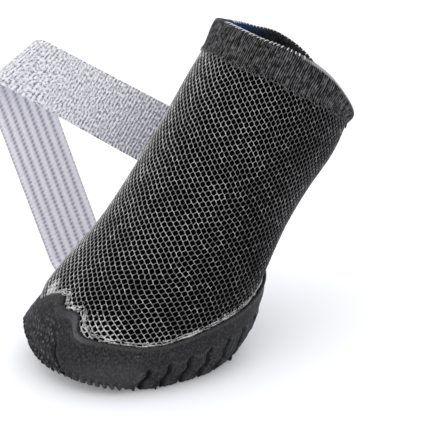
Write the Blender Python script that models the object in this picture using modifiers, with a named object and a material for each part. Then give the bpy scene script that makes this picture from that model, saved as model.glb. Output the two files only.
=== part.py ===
"""Dog boot: a moulded rubber cup sole, a mesh sock, a knit collar binding, a webbing strap and an insole.

The toe points to -Y and the boot stands on z = 0. Lengths are in metres and angles in degrees.
An angle round the boot is 0 at the toe and positive towards +X, the boot's left.
"""

import bmesh
import bpy
import numpy as np

MM = 0.001

SOLE_LENGTH = 76 * MM
SOLE_WIDTH = 63 * MM
BOOT_HEIGHT = 100 * MM

CLOTH_WALL = 1.6 * MM
FIT_GAP = 0.5 * MM
COVER_GAP = 0.3 * MM

# The front of the foot swings towards the boot's left: the share of x taken off y, and the heights it fades between.
SWING = 0.055
SWING_FADE = (0.15, 0.55)

# Rows of the upper's outside from its hidden lower edge to the collar. Columns: front y, front z, back y, back z,
# half width, squareness of the section, share of the collar's lifts.
# The y are shares of the sole's length, the z of the boot's height and the half width of half the sole's width.
UPPER_ROWS = np.array([
    (-0.396, 0.054, 0.352, 0.054, 0.805, 2.20, 0.00),
    (-0.429, 0.120, 0.404, 0.110, 0.893, 2.20, 0.00),
    (-0.416, 0.190, 0.446, 0.165, 0.905, 2.20, 0.00),
    (-0.345, 0.250, 0.480, 0.215, 0.883, 2.20, 0.00),
    (-0.254, 0.315, 0.513, 0.260, 0.850, 2.20, 0.00),
    (-0.155, 0.390, 0.550, 0.305, 0.806, 2.15, 0.00),
    (-0.033, 0.510, 0.605, 0.365, 0.757, 2.10, 0.00),
    (0.109, 0.660, 0.691, 0.445, 0.721, 2.10, 0.08),
    (0.252, 0.815, 0.809, 0.540, 0.702, 2.10, 0.38),
    (0.388, 0.940, 0.879, 0.642, 0.686, 2.10, 1.00),
])
# Lifts of the collar's rim over its slanted plane, every 30 degrees from the rear round by the right side.
COLLAR_LIFTS = np.array([1.5, 11.0, 12.7, 8.6, 4.6, 2.5, 2.0, 2.6, 4.9, 5.7, 2.8, 0.3]) * MM
UPPER_LOOPS = 26
UPPER_COLUMNS = 48

# Rows of the sole's outside below the rubber edge. Columns: height, front y, back y (shares of the sole's length),
# half width (share of half the sole's width).
SOLE_ROWS = np.array([
    (0.0 * MM, -0.450, 0.340, 0.815),
    (1.5 * MM, -0.470, 0.368, 0.860),
    (4.0 * MM, -0.482, 0.397, 0.908),
    (8.0 * MM, -0.490, 0.430, 0.960),
    (13.0 * MM, -0.488, 0.458, 0.992),
    (18.0 * MM, -0.465, 0.475, 0.985),
])
SOLE_SQUARENESS = 2.25
TREAD_THICKNESS = 5.0 * MM
EDGE_WALL = 2.3 * MM
EDGE_ROUND = 0.7 * MM
WALL_FOLLOWS_CLOTH = (11 * MM, 17 * MM)

# Top of the rubber round the boot. Columns: angle, height.
EDGE_HEIGHTS = np.array([
    (-180, 22.5 * MM), (-165, 22.0 * MM), (-150, 21.0 * MM), (-135, 19.5 * MM), (-120, 18.0 * MM),
    (-90, 16.8 * MM), (-63, 15.5 * MM), (-51, 14.9 * MM), (-37, 14.2 * MM), (-25, 15.0 * MM),
    (-14, 18.0 * MM), (-9, 21.2 * MM), (-4, 23.3 * MM), (0, 24.3 * MM), (4, 24.5 * MM),
    (6, 24.0 * MM), (8, 22.9 * MM), (13, 22.6 * MM), (20, 23.0 * MM), (24, 22.4 * MM),
    (26.5, 20.8 * MM), (29, 19.0 * MM), (34, 17.8 * MM), (42, 17.2 * MM), (56, 16.3 * MM),
    (68, 15.3 * MM), (80, 15.2 * MM), (94, 16.4 * MM), (106, 17.5 * MM), (120, 18.4 * MM),
    (135, 20.0 * MM), (150, 21.0 * MM), (165, 22.0 * MM), (180, 22.5 * MM),
])

# The toe of the tread lifts off the ground ahead of this line.
TOE_SPRING_START = -10 * MM
TOE_SPRING_RISE = 5.5 * MM
TOE_SPRING_TOP = 14 * MM

# A narrow groove on each side of the toe strip.
STRIP_ANGLE = 18.5
STRIP_GROOVE_DEPTH = 0.7 * MM
STRIP_GROOVE_SPREAD = 0.8
STRIP_GROOVE_TOP = 17 * MM

# Bars of the tread are left between slots that also climb the side of the sole.
SLOT_PITCH = 6.25 * MM
SLOT_FIRST = -16.3 * MM
SLOT_COUNT = 7
SLOT_WIDTH = 1.5 * MM
SLOT_DEPTH = 2.0 * MM
SLOT_SIDE_DEPTH = 1.3 * MM
SLOT_SIDE_TOP = 7.0 * MM
SLOT_LEAN = 0.25

BINDING_OUTER = 8.6 * MM
BINDING_INNER = 7.0 * MM
BINDING_REAR_SHARE = 0.38
BINDING_NARROWS = (75, 140)
BINDING_THICKNESS = 1.0 * MM

INSOLE_THICKNESS = 2.5 * MM
INSOLE_GAP = 0.3 * MM

STRAP_WIDTH = 20 * MM
STRAP_THICKNESS = 1.2 * MM
STRAP_SEWN_FROM = 172.0
STRAP_LEAVES_AT = -132.0
STRAP_HEIGHT_ON_SHAFT = 0.568
STRAP_REACH = 75 * MM
STRAP_TAIL = 22 * MM
STRAP_FLOOR_CLEARANCE = 0.3 * MM
STRAP_TWIST = 22.0
STRAP_HANGS = (0.19, 0.24, -0.95)
FOLD_RADIUS = 5 * MM
LANDING_RADIUS = 6 * MM
SHAFT_LEAN = 33.5

TWO_PI = 2 * np.pi


def make_collection(name):
    """Return a new collection linked to the scene."""
    group = bpy.data.collections.new(name)
    bpy.context.scene.collection.children.link(group)
    return group


def make_material(name, colour, roughness, metallic=0.0):
    """Return a Principled material with a plain colour."""
    material = bpy.data.materials.new(name)
    material.use_nodes = True
    shader = material.node_tree.nodes["Principled BSDF"]
    shader.inputs["Base Color"].default_value = (*colour, 1.0)
    shader.inputs["Roughness"].default_value = roughness
    shader.inputs["Metallic"].default_value = metallic
    material.diffuse_color = (*colour, 1.0)
    return material


def make_object(name, vertices, faces, group, material=None):
    """Make a mesh object from points and faces, with its faces turned outwards."""
    mesh = bpy.data.meshes.new(name)
    mesh.from_pydata([tuple(v) for v in np.asarray(vertices).reshape(-1, 3)], [], faces)
    shape = bmesh.new()
    shape.from_mesh(mesh)
    bmesh.ops.recalc_face_normals(shape, faces=shape.faces)
    shape.to_mesh(mesh)
    shape.free()
    mesh.shade_smooth()
    mesh.set_sharp_from_angle(angle=np.radians(40))
    item = bpy.data.objects.new(name, mesh)
    group.objects.link(item)
    if material is not None:
        mesh.materials.append(material)
    return item


def grid_faces(rows, columns, closed_columns=True, closed_rows=False):
    """Return the quads of a grid of rows by columns, numbered row by row."""
    faces = []
    last_row = rows if closed_rows else rows - 1
    last_column = columns if closed_columns else columns - 1
    for r in range(last_row):
        for c in range(last_column):
            here, right = r * columns + c, r * columns + (c + 1) % columns
            above = ((r + 1) % rows) * columns
            faces.append((here, right, above + (c + 1) % columns, above + c))
    return faces


def smooth_step(low, high, value):
    """Return 0 below low, 1 above high and a smooth rise between."""
    share = np.clip((value - low) / (high - low), 0, 1)
    return share * share * (3 - 2 * share)


def spline_rows(table, t):
    """Read a table at t from 0 to 1 along a smooth curve through its evenly spaced rows."""
    last = len(table) - 1
    place = np.clip(t, 0, 1) * last
    index = np.minimum(place.astype(int), last - 1)
    f = (place - index)[..., None]
    padded = np.vstack([2 * table[0] - table[1], table, 2 * table[-1] - table[-2]])
    p0, p1, p2, p3 = padded[index], padded[index + 1], padded[index + 2], padded[index + 3]
    return 0.5 * (2 * p1 + (p2 - p0) * f + (2 * p0 - 5 * p1 + 4 * p2 - p3) * f**2
                  + (3 * p1 - p0 - 3 * p2 + p3) * f**3)


def rounded(angle, squareness):
    """Return the forward and left shares of a rounded section at an angle in radians."""
    forward, left = np.cos(angle), np.sin(angle)
    power = 2 / squareness
    return np.sign(forward) * np.abs(forward) ** power, np.sign(left) * np.abs(left) ** power


def collar_lift(angle):
    """Return how far the collar's rim is lifted at an angle, along a smooth curve through its lifts."""
    count = len(COLLAR_LIFTS)
    place = (np.asarray(angle) / TWO_PI + 0.5) % 1.0 * count
    index = np.floor(place).astype(int)
    f = place - index
    p0, p1, p2, p3 = (COLLAR_LIFTS[(index + k) % count] for k in (-1, 0, 1, 2))
    return 0.5 * (2 * p1 + (p2 - p0) * f + (2 * p0 - 5 * p1 + 4 * p2 - p3) * f**2
                  + (3 * p1 - p0 - 3 * p2 + p3) * f**3)


def swing_front(x, y, z):
    """Move y with x near the ground, so that the foot's front swings to the left."""
    low, high = (share * BOOT_HEIGHT for share in SWING_FADE)
    return y - SWING * x * (1 - smooth_step(low, high, z))


def upper_point(t, angle):
    """Return points of the upper's outside, t from 0 at the lower edge to 1 at the collar."""
    t, angle = np.broadcast_arrays(np.asarray(t, float), np.asarray(angle, float))
    row = spline_rows(UPPER_ROWS, t)
    front_y, back_y = row[..., 0] * SOLE_LENGTH, row[..., 2] * SOLE_LENGTH
    front_z, back_z = row[..., 1] * BOOT_HEIGHT, row[..., 3] * BOOT_HEIGHT
    forward, left = rounded(angle, row[..., 5])
    x = row[..., 4] * SOLE_WIDTH / 2 * left
    y = (front_y + back_y) / 2 + (front_y - back_y) / 2 * forward
    z = (front_z + back_z) / 2 + (front_z - back_z) / 2 * forward
    z = z + row[..., 6] * collar_lift(angle)
    return np.stack([x, swing_front(x, y, z), z], -1)


def upper_normal(t, angle):
    """Return the outward unit normals of the upper's outside."""
    step = 1e-3
    along = upper_point(np.clip(t + step, 0, 1), angle) - upper_point(np.clip(t - step, 0, 1), angle)
    around = upper_point(t, angle + step) - upper_point(t, angle - step)
    normal = np.cross(around, along)
    return normal / np.linalg.norm(normal, axis=-1, keepdims=True)


def upper_offset(t, angle, distance):
    """Return points at a distance outside the upper's outer face."""
    t, angle = np.broadcast_arrays(np.asarray(t, float), np.asarray(angle, float))
    return upper_point(t, angle) + upper_normal(t, angle) * np.asarray(distance)[..., None]


def build_upper(group, material):
    """Build the hollow sock: a lofted sheet given its wall inwards."""
    t = np.linspace(0, 1, UPPER_LOOPS)[:, None]
    angle = np.linspace(0, TWO_PI, UPPER_COLUMNS, endpoint=False)[None, :]
    item = make_object("upper", upper_point(t, angle), grid_faces(UPPER_LOOPS, UPPER_COLUMNS), group, material)
    wall = item.modifiers.new("cloth wall", "SOLIDIFY")
    wall.thickness = CLOTH_WALL
    wall.offset = -1


def sole_columns():
    """Return the angles of the sole's columns: even ones, and the corners of its edge and toe strip."""
    even = np.linspace(-180, 180, 44, endpoint=False)
    groove = [side * (STRIP_ANGLE + shift) for side in (-1, 1)
              for shift in (-STRIP_GROOVE_SPREAD, 0, STRIP_GROOVE_SPREAD)]
    corners = np.concatenate([EDGE_HEIGHTS[1:-1, 0], groove])
    kept = [a for a in even if np.min(np.abs(corners - a)) > 2.5]
    return np.radians(np.sort(np.concatenate([kept, corners])))


def cloth_at_height(angle, z):
    """Return the upper's outside where each column reaches a height, and the level outward normal there."""
    t = np.linspace(0, 1, 160)
    column = upper_point(t[:, None], angle[None, :])
    x, y = np.empty_like(z), np.empty_like(z)
    for c in range(len(angle)):
        x[..., c] = np.interp(z[..., c], column[:, c, 2], column[:, c, 0])
        y[..., c] = np.interp(z[..., c], column[:, c, 2], column[:, c, 1])
    tangent_x = np.roll(x, -1, axis=-1) - np.roll(x, 1, axis=-1)
    tangent_y = np.roll(y, -1, axis=-1) - np.roll(y, 1, axis=-1)
    length = np.hypot(tangent_x, tangent_y)
    return x, y, tangent_y / length, -tangent_x / length


def sole_outside(angle, z):
    """Return the x and y of the sole's outer wall at heights z, one column for each angle."""
    front, back, half = (np.interp(z, SOLE_ROWS[:, 0], SOLE_ROWS[:, i]) for i in (1, 2, 3))
    forward, left = rounded(angle, SOLE_SQUARENESS)
    x = half * SOLE_WIDTH / 2 * left
    y = np.where(forward > 0, front * forward, -back * forward) * SOLE_LENGTH
    y = swing_front(x, y, z)
    cloth_x, cloth_y, normal_x, normal_y = cloth_at_height(angle, z)
    reach = FIT_GAP + EDGE_WALL
    share = smooth_step(*WALL_FOLLOWS_CLOTH, z)
    x = x + (cloth_x + normal_x * reach - x) * share
    y = y + (cloth_y + normal_y * reach - y) * share
    degrees = np.abs(np.degrees(np.angle(np.exp(1j * angle))))
    groove = np.clip(1 - np.abs(degrees - STRIP_ANGLE) / STRIP_GROOVE_SPREAD, 0, 1) * STRIP_GROOVE_DEPTH
    y = y + groove * (1 - smooth_step(STRIP_GROOVE_TOP - 3 * MM, STRIP_GROOVE_TOP, z))
    return x, y


def toe_spring(y, z):
    """Return how far the rubber is lifted at y and height z."""
    front = -SOLE_LENGTH / 2
    share = np.clip((TOE_SPRING_START - y) / (TOE_SPRING_START - front), 0, 1.2) ** 1.6
    return TOE_SPRING_RISE * share * np.clip(1 - z / TOE_SPRING_TOP, 0, 1)


def sole_loop(angle, z, inset=0.0, shrink=1.0):
    """Return one loop of points on the sole's outside, lifted by the toe spring."""
    z = np.broadcast_to(np.asarray(z, float), angle.shape)
    x, y = sole_outside(angle, z)
    reach = np.hypot(x, y)
    x, y = (part * shrink * (1 - inset / reach) for part in (x, y))
    return np.stack([x, y, z + toe_spring(y, z)], -1)


def cup_loop(angle, z, gap):
    """Return one loop of points inside the cup, a gap outside the cloth."""
    z = np.broadcast_to(np.asarray(z, float), angle.shape)
    x, y, normal_x, normal_y = cloth_at_height(angle, z)
    return np.stack([x + normal_x * gap, y + normal_y * gap, z], -1)


def build_sole(group, cutters, material):
    """Build the cup sole from loops that run up its outside, over the edge and down to its floor."""
    angle = sole_columns()
    edge = np.interp(np.degrees(angle), EDGE_HEIGHTS[:, 0], EDGE_HEIGHTS[:, 1])
    loops = [sole_loop(angle, 0.0, shrink=share) for share in (0.35, 0.7, 0.9)]
    waist = WALL_FOLLOWS_CLOTH[0]
    loops += [sole_loop(angle, waist * share) for share in (0.0, 0.11, 0.32, 0.55, 0.77, 1.0)]
    shoulder = edge - EDGE_ROUND
    loops += [sole_loop(angle, waist + (shoulder - waist) * share) for share in (0.4, 0.75, 1.0)]
    loops.append(cup_loop(angle, edge, FIT_GAP + EDGE_WALL * 0.62))
    loops.append(cup_loop(angle, edge, FIT_GAP + EDGE_WALL * 0.25))
    floor = TREAD_THICKNESS
    loops += [cup_loop(angle, floor + (shoulder - floor) * share, FIT_GAP)
              for share in (1.0, 0.88, 0.75, 0.6, 0.45, 0.3, 0.15)]
    bottom = cup_loop(angle, floor + FIT_GAP, FIT_GAP)
    for share in (1.0, 0.6, 0.25):
        ring = bottom * (share, share, 1)
        ring[:, 2] = floor
        loops.append(ring)
    count = len(angle)
    points = np.concatenate([np.array([[0, 0, 0]]), np.concatenate(loops), np.array([[0, 0, floor]])])
    faces = [tuple(1 + i for i in face) for face in grid_faces(len(loops), count)]
    last = len(points) - 1
    top = last - count
    faces += [(0, 1 + (c + 1) % count, 1 + c) for c in range(count)]
    faces += [(last, top + c, top + (c + 1) % count) for c in range(count)]
    item = make_object("outsole", points, faces, group, material)
    cut = item.modifiers.new("tread slots", "BOOLEAN")
    cut.operation = "DIFFERENCE"
    cut.solver = "EXACT"
    cut.object = build_slot_cutter(cutters)


def outline_half_width(y, z):
    """Return the sole's half width at y, read from its outline at a height."""
    angle = np.linspace(0, np.pi, 181)
    x, edge_y = sole_outside(angle, np.full(angle.shape, z))
    return np.interp(y, edge_y, x)


def slot_half_width(y, z):
    """Return the sole's half width at the narrower end of a slot at y, at a height on its side."""
    return min(outline_half_width(y + SLOT_LEAN * z + side * SLOT_WIDTH / 2, z) for side in (-1, 1))


def build_slot_cutter(cutters):
    """Build the bars that cut the tread slots: each is a U across the sole, open round its core."""
    points, faces = [], []
    far = SOLE_WIDTH
    for k in range(SLOT_COUNT):
        y = SLOT_FIRST + k * SLOT_PITCH
        low = slot_half_width(y, SLOT_DEPTH) - SLOT_SIDE_DEPTH
        high = slot_half_width(y, SLOT_SIDE_TOP) - SLOT_SIDE_DEPTH * 0.5
        lift = toe_spring(np.array(y), np.array(0.0))
        half = [(0.0, SLOT_DEPTH), (low - SLOT_DEPTH, SLOT_DEPTH), (low, SLOT_DEPTH * 1.6), (high, SLOT_SIDE_TOP),
                (far, SLOT_SIDE_TOP), (far, -SLOT_DEPTH)]
        outline = half + [(-x, z) for x, z in reversed(half[1:])]
        start, size = len(points), len(outline)
        for side in (-0.5, 0.5):
            for x, z in outline:
                shift = SLOT_LEAN * max(z, 0) + side * SLOT_WIDTH
                points.append((x, y + shift, z + (float(lift) if z > 0 else 0.0)))
        faces.append(tuple(start + i for i in range(size)))
        faces.append(tuple(start + size + i for i in reversed(range(size))))
        for i in range(size):
            after = (i + 1) % size
            faces.append((start + i, start + size + i, start + size + after, start + after))
    cutter = make_object("tread slots", points, faces, cutters)
    cutter.hide_render = True
    cutter.display_type = "WIRE"
    return cutter


def binding_reach(angle, reach):
    """Return how far down the shaft the binding runs at each angle: it narrows towards the rear."""
    degrees = np.abs(np.degrees(np.angle(np.exp(1j * angle))))
    return reach * (1 - (1 - BINDING_REAR_SHARE) * smooth_step(*BINDING_NARROWS, degrees))


def build_binding(group, material):
    """Build the knit band folded over the collar: a U-shaped section carried round the rim."""
    angle = np.linspace(0, TWO_PI, UPPER_COLUMNS, endpoint=False)
    samples = np.linspace(0, 1, 200)
    column = upper_point(samples[:, None], angle[None, :])
    length = np.concatenate([np.zeros((1, len(angle))), np.cumsum(np.linalg.norm(np.diff(column, axis=0), axis=-1), 0)])
    below = length[-1] - length

    def at(depth, out):
        """Return a loop at a depth below the rim and a distance outside the upper's outer face."""
        depth = np.broadcast_to(depth, angle.shape)
        t = np.array([np.interp(-d, -below[:, c], samples) for c, d in enumerate(depth)])
        return upper_offset(t, angle, np.full(angle.shape, out))

    rim = upper_point(np.ones_like(angle), angle)
    rise = rim - upper_point(np.full_like(angle, 0.985), angle)
    rise /= np.linalg.norm(rise, axis=-1, keepdims=True)

    def over(height, out):
        """Return a loop at a height over the rim and a distance outside the upper's outer face."""
        return upper_offset(np.ones_like(angle), angle, np.full(angle.shape, out)) + rise * height

    outer, inner = COVER_GAP, -CLOTH_WALL - COVER_GAP
    thick = BINDING_THICKNESS
    middle = -CLOTH_WALL / 2
    outside, inside = binding_reach(angle, BINDING_OUTER), binding_reach(angle, BINDING_INNER)
    loops = [at(outside * share, outer + thick) for share in (1.0, 0.66, 0.33, 0.0)]
    loops += [over(0.75 * thick, outer + 0.7 * thick), over(thick + COVER_GAP, middle),
              over(0.75 * thick, inner - 0.7 * thick)]
    loops += [at(inside * share, inner - thick) for share in (0.0, 0.5, 1.0)]
    loops += [at(inside * share, inner) for share in (1.0, 0.5, 0.0)]
    loops += [over(COVER_GAP, inner + 0.1 * thick), over(COVER_GAP, outer - 0.1 * thick)]
    loops += [at(outside * share, outer) for share in (0.0, 0.33, 0.66, 1.0)]
    faces = grid_faces(len(loops), len(angle), closed_rows=True)
    make_object("collar_binding", np.concatenate(loops), faces, group, material)


def build_insole(group, material):
    """Build the pad that fills the foot of the sock."""
    angle = np.linspace(0, TWO_PI, 32, endpoint=False)
    low = TREAD_THICKNESS + INSOLE_GAP
    loops = []
    for height, inset in ((0.0, 0.6 * MM), (0.5, 0.0), (1.0, 0.6 * MM)):
        z = low + INSOLE_THICKNESS * height
        loops.append(cup_loop(angle, z, -CLOTH_WALL - INSOLE_GAP - 0.4 * MM - inset))
    points = np.concatenate(loops)
    count = len(angle)
    faces = grid_faces(3, count)
    faces.append(tuple(reversed(range(count))))
    faces.append(tuple(range(2 * count, 3 * count)))
    make_object("insole", points, faces, group, material)


def bend_strip(points, start, angle, radius, skew):
    """Bend a flat strip about a line across it.

    Points past the line turn by the angle in degrees round a cylinder of the radius, towards +z of the strip.
    The skew tips the line from square to the strip, in degrees.
    """
    turn = np.radians(angle)
    tip = np.radians(skew)
    along = np.array([np.cos(tip), np.sin(tip), 0.0])
    axis = np.array([-np.sin(tip), np.cos(tip), 0.0])
    normal = np.array([0.0, 0.0, 1.0])
    place = points - np.array([start, 0.0, 0.0])
    b, a, h = place @ along, place @ axis, place[..., 2]
    arc = np.clip(b / radius, 0, turn)
    rest = np.where(b > 0, b - arc * radius, b)
    inner = radius - h
    forward = inner * np.sin(arc) + rest * np.cos(arc)
    up = radius - inner * np.cos(arc) + rest * np.sin(arc)
    bent = a[..., None] * axis + forward[..., None] * along + up[..., None] * normal
    return bent + np.array([start, 0.0, 0.0])


def strap_on_shaft(angle, across):
    """Return points on the shaft where the strap lies on it, at places across the strap, and the outward normals."""
    lean = np.radians(SHAFT_LEAN)
    shaft = np.array([0.0, np.sin(lean), np.cos(lean)])
    samples = np.linspace(0.35, 1, 240)
    points = upper_point(samples[:, None], angle[None, :])
    level = points @ shaft
    t = np.array([np.interp(STRAP_HEIGHT_ON_SHAFT * BOOT_HEIGHT + across, level[:, c], samples)
                  for c in range(len(angle))])
    return upper_point(t, angle), upper_normal(t, angle)


def strap_frame():
    """Return the place, direction, width direction and normal where the strap leaves the shaft."""
    angle = np.radians(STRAP_LEAVES_AT)
    three = angle + np.radians([-1.0, 0.0, 1.0])
    points, normals = strap_on_shaft(three, 0.0)
    direction = points[2] - points[0]
    direction /= np.linalg.norm(direction)
    lean = np.radians(SHAFT_LEAN)
    width = np.array([0.0, np.sin(lean), np.cos(lean)])
    width -= direction * (width @ direction)
    width /= np.linalg.norm(width)
    normal = np.cross(direction, width)
    if normal @ normals[1] < 0:
        normal = -normal
    return points[1], direction, width, normal


def place_strip(points, frame):
    """Carry points (along, across, out) from a frame to the boot."""
    place, direction, width, normal = frame
    return place + points[..., :1] * direction + points[..., 1:2] * width + points[..., 2:] * normal


def twist_frame(frame, angle):
    """Return a frame turned about its own direction by an angle in degrees."""
    place, direction, width, normal = frame
    turn = np.radians(angle)
    return (place, direction, width * np.cos(turn) + normal * np.sin(turn),
            normal * np.cos(turn) - width * np.sin(turn))


def turn_towards(frame, target):
    """Return the angle and skew of the bend that turns a strip's direction to a target, in degrees."""
    _, direction, width, normal = frame
    ahead, across, out = (target @ part for part in (direction, width, normal))
    skew = np.arctan2(-across, 1 - ahead)
    angle = np.arccos(np.clip(1 - (1 - ahead) / np.cos(skew) ** 2, -1, 1))
    return np.degrees(angle) * np.sign(out), np.degrees(skew)


def frame_after(frame, length, angle, radius, skew):
    """Return the frame of a strip at the end of a bend that starts at a length along it."""
    side = np.sign(angle)
    arc = radius * np.radians(abs(angle)) / np.cos(np.radians(skew))
    probe = np.array([[arc, 0, 0], [arc + MM, 0, 0], [arc, MM, 0], [arc, 0, MM]]) + (length, 0, 0)
    mirror = np.array([1, 1, side])
    bent = bend_strip(probe * mirror, length, abs(angle), radius, skew) * mirror
    place, *tips = place_strip(bent, frame)
    return (place, *((tip - place) / MM for tip in tips))


class Strap:
    """The webbing's route past the ankle: a straight reach, a fold, a hanging stretch and a tail on the ground."""

    def __init__(self):
        self.start = strap_frame()
        self.fold_frame = twist_frame(self.start, STRAP_TWIST)
        hang = np.array(STRAP_HANGS) / np.linalg.norm(STRAP_HANGS)
        self.fold = turn_towards(self.fold_frame, hang)
        self.fold_arc = FOLD_RADIUS * np.radians(abs(self.fold[0])) / np.cos(np.radians(self.fold[1]))
        after = frame_after(self.fold_frame, STRAP_REACH, self.fold[0], FOLD_RADIUS, self.fold[1])
        level = np.cross(after[3], (0, 0, 1.0))
        level /= np.linalg.norm(level)
        onward = np.cross((0, 0, 1.0), level)
        onward *= np.sign(onward[0])
        share = after[1] @ level
        self.landing = turn_towards(after, share * level + np.sqrt(1 - share**2) * onward)
        self.landing_arc = LANDING_RADIUS * np.radians(abs(self.landing[0])) / np.cos(np.radians(self.landing[1]))
        laid = frame_after(after, 0.0, self.landing[0], LANDING_RADIUS, self.landing[1])
        under = STRAP_FLOOR_CLEARANCE + (STRAP_THICKNESS if laid[3][2] < 0 else 0.0)
        self.hang_length = (laid[0][2] - under) / -after[1][2]

    def points(self, stations, across, out):
        """Return points at stations past the ankle, a place across and a distance out of the webbing's near face."""
        flat = np.stack([stations, np.broadcast_to(across, stations.shape), np.broadcast_to(out, stations.shape)], -1)
        twist = np.radians(STRAP_TWIST) * smooth_step(0, STRAP_REACH, stations)
        fold_end = STRAP_REACH + self.fold_arc
        landing_side = np.array([1, 1, np.sign(self.landing[0])])
        landing_start = fold_end + self.hang_length
        bent = bend_strip(flat * landing_side, landing_start, abs(self.landing[0]), LANDING_RADIUS,
                          self.landing[1]) * landing_side
        fold_side = np.array([1, 1, np.sign(self.fold[0])])
        bent = bend_strip(bent * fold_side, STRAP_REACH, abs(self.fold[0]), FOLD_RADIUS, self.fold[1]) * fold_side
        y, z = bent[..., 1].copy(), bent[..., 2].copy()
        bent[..., 1] = y * np.cos(twist) - z * np.sin(twist)
        bent[..., 2] = y * np.sin(twist) + z * np.cos(twist)
        return place_strip(bent, self.start)


def build_strap(group, material):
    """Build the webbing: sewn round the rear of the ankle, out to the side, folded back and laid on the ground."""
    strap = Strap()
    fold_end = STRAP_REACH + strap.fold_arc
    landing = fold_end + strap.hang_length
    landing_end = landing + strap.landing_arc
    end = landing_end + STRAP_TAIL
    stations = np.concatenate([np.linspace(0, 0.25, 5) * STRAP_REACH, np.array([0.45, 0.65, 0.85]) * STRAP_REACH,
                               np.linspace(STRAP_REACH, fold_end, 10), [(fold_end + landing) / 2],
                               np.linspace(landing, landing_end, 8), [end]])
    skews = np.interp(stations, [0.85 * STRAP_REACH, STRAP_REACH, fold_end, landing, landing_end, end],
                      [0, strap.fold[1], strap.fold[1], strap.landing[1], strap.landing[1], 0])
    leaves = np.radians(STRAP_LEAVES_AT)
    sewn = np.linspace(np.radians(STRAP_SEWN_FROM - 360), leaves, 8)[:-1]
    faces_of_strip = []
    for out in (COVER_GAP, COVER_GAP + STRAP_THICKNESS):
        rows = []
        for across in np.linspace(-STRAP_WIDTH / 2, STRAP_WIDTH / 2, 5):
            points, normals = strap_on_shaft(sewn, across)
            free = strap.points(stations - across * np.tan(np.radians(skews)), across, out)
            edge, edge_normal = strap_on_shaft(np.array([leaves]), across)
            miss = edge[0] + edge_normal[0] * out - free[0]
            free = free + miss * (1 - smooth_step(0, 0.25 * STRAP_REACH, stations))[:, None]
            rows.append(np.concatenate([points + normals * out, free]))
        faces_of_strip.append(np.array(rows))
    near, far = faces_of_strip
    loops = np.concatenate([far, near[::-1]]).transpose(1, 0, 2)
    count, size = loops.shape[:2]
    faces = grid_faces(count, size)
    faces.append(tuple(reversed(range(size))))
    faces.append(tuple((count - 1) * size + i for i in range(size)))
    make_object("strap", loops, faces, group, material)


def main():
    """Clear the scene and build the boot."""
    for old in list(bpy.data.objects):
        bpy.data.objects.remove(old, do_unlink=True)
    boot = make_collection("dog_boot")
    cutters = make_collection("cutters")
    rubber = make_material("rubber", (0.030, 0.031, 0.034), 0.55)
    mesh_cloth = make_material("mesh cloth", (0.022, 0.022, 0.023), 0.85)
    knit = make_material("rib knit", (0.035, 0.035, 0.037), 0.9)
    webbing = make_material("webbing", (0.55, 0.55, 0.60), 0.85)
    felt = make_material("insole felt", (0.05, 0.05, 0.055), 0.95)
    build_sole(boot, cutters, rubber)
    build_upper(boot, mesh_cloth)
    build_binding(boot, knit)
    build_insole(boot, felt)
    build_strap(boot, webbing)


main()
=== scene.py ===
"""Dog boot: a rubber cup sole, a sock of open net, a rib-knit collar binding, a webbing strap and an insole.

The toe points to -Y and the boot stands on z = 0. Lengths are in metres. An angle round the boot is 0 at the toe
and positive towards +X, the boot's left. Every surface is a function of two parameters, worked out as whole arrays.
"""

import logging
from dataclasses import dataclass, field
from enum import Enum
from typing import Any, Sequence

import bmesh
import bpy
import numpy as np
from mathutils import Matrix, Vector

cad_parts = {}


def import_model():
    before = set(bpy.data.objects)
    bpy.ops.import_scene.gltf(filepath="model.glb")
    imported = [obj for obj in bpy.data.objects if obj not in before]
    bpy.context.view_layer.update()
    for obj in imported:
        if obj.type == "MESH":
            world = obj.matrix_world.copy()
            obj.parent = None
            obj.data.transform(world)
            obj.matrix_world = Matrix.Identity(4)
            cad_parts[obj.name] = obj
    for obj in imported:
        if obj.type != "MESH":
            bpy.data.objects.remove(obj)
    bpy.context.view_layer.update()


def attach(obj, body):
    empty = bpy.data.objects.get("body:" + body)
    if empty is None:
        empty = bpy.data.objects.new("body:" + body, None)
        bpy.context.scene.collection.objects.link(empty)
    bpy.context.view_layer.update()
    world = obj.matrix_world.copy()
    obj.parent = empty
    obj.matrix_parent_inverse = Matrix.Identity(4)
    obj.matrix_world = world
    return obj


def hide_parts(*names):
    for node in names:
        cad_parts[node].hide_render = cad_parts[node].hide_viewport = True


MM = 0.001
TURN = 2 * np.pi
# Mean radii: an angle times one of these is a length round the boot.
SHAFT_RADIUS = 24 * MM
SOLE_RADIUS = 34 * MM
Array = np.ndarray
Colour = tuple[float, float, float]
log = logging.getLogger("dog_boot")


class NodeKind(Enum):
    """The shader nodes that the finishes use."""

    COORDINATES = "ShaderNodeTexCoord"
    ATTRIBUTE = "ShaderNodeAttribute"
    MATHS = "ShaderNodeMath"
    NOISE = "ShaderNodeTexNoise"
    CELLS = "ShaderNodeTexVoronoi"
    MIX = "ShaderNodeMix"
    PARTS = "ShaderNodeSeparateXYZ"
    JOIN = "ShaderNodeCombineXYZ"
    BUMP = "ShaderNodeBump"
    RANGE = "ShaderNodeMapRange"
    VECTOR = "ShaderNodeVectorMath"


class WebbingFace(Enum):
    """The two faces of the webbing, as the value of the attribute that tells them apart."""

    PILE = 1.0
    RIBBED = 0.0


def smooth_step(low: float | Array, high: float | Array, value: Array) -> Array:
    """Return 0 below low, 1 above high and the cubic 3s2 - 2s3 of the share s between."""
    share = np.clip((value - low) / (high - low), 0, 1)
    return share * share * (3 - 2 * share)


def bump_profile(distance: Array, width: float) -> Array:
    """Return 1 at no distance, falling as a squared cosine to 0 at the width."""
    return np.cos(np.clip(np.abs(distance) / width, 0, 1) * np.pi / 2) ** 2


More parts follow.
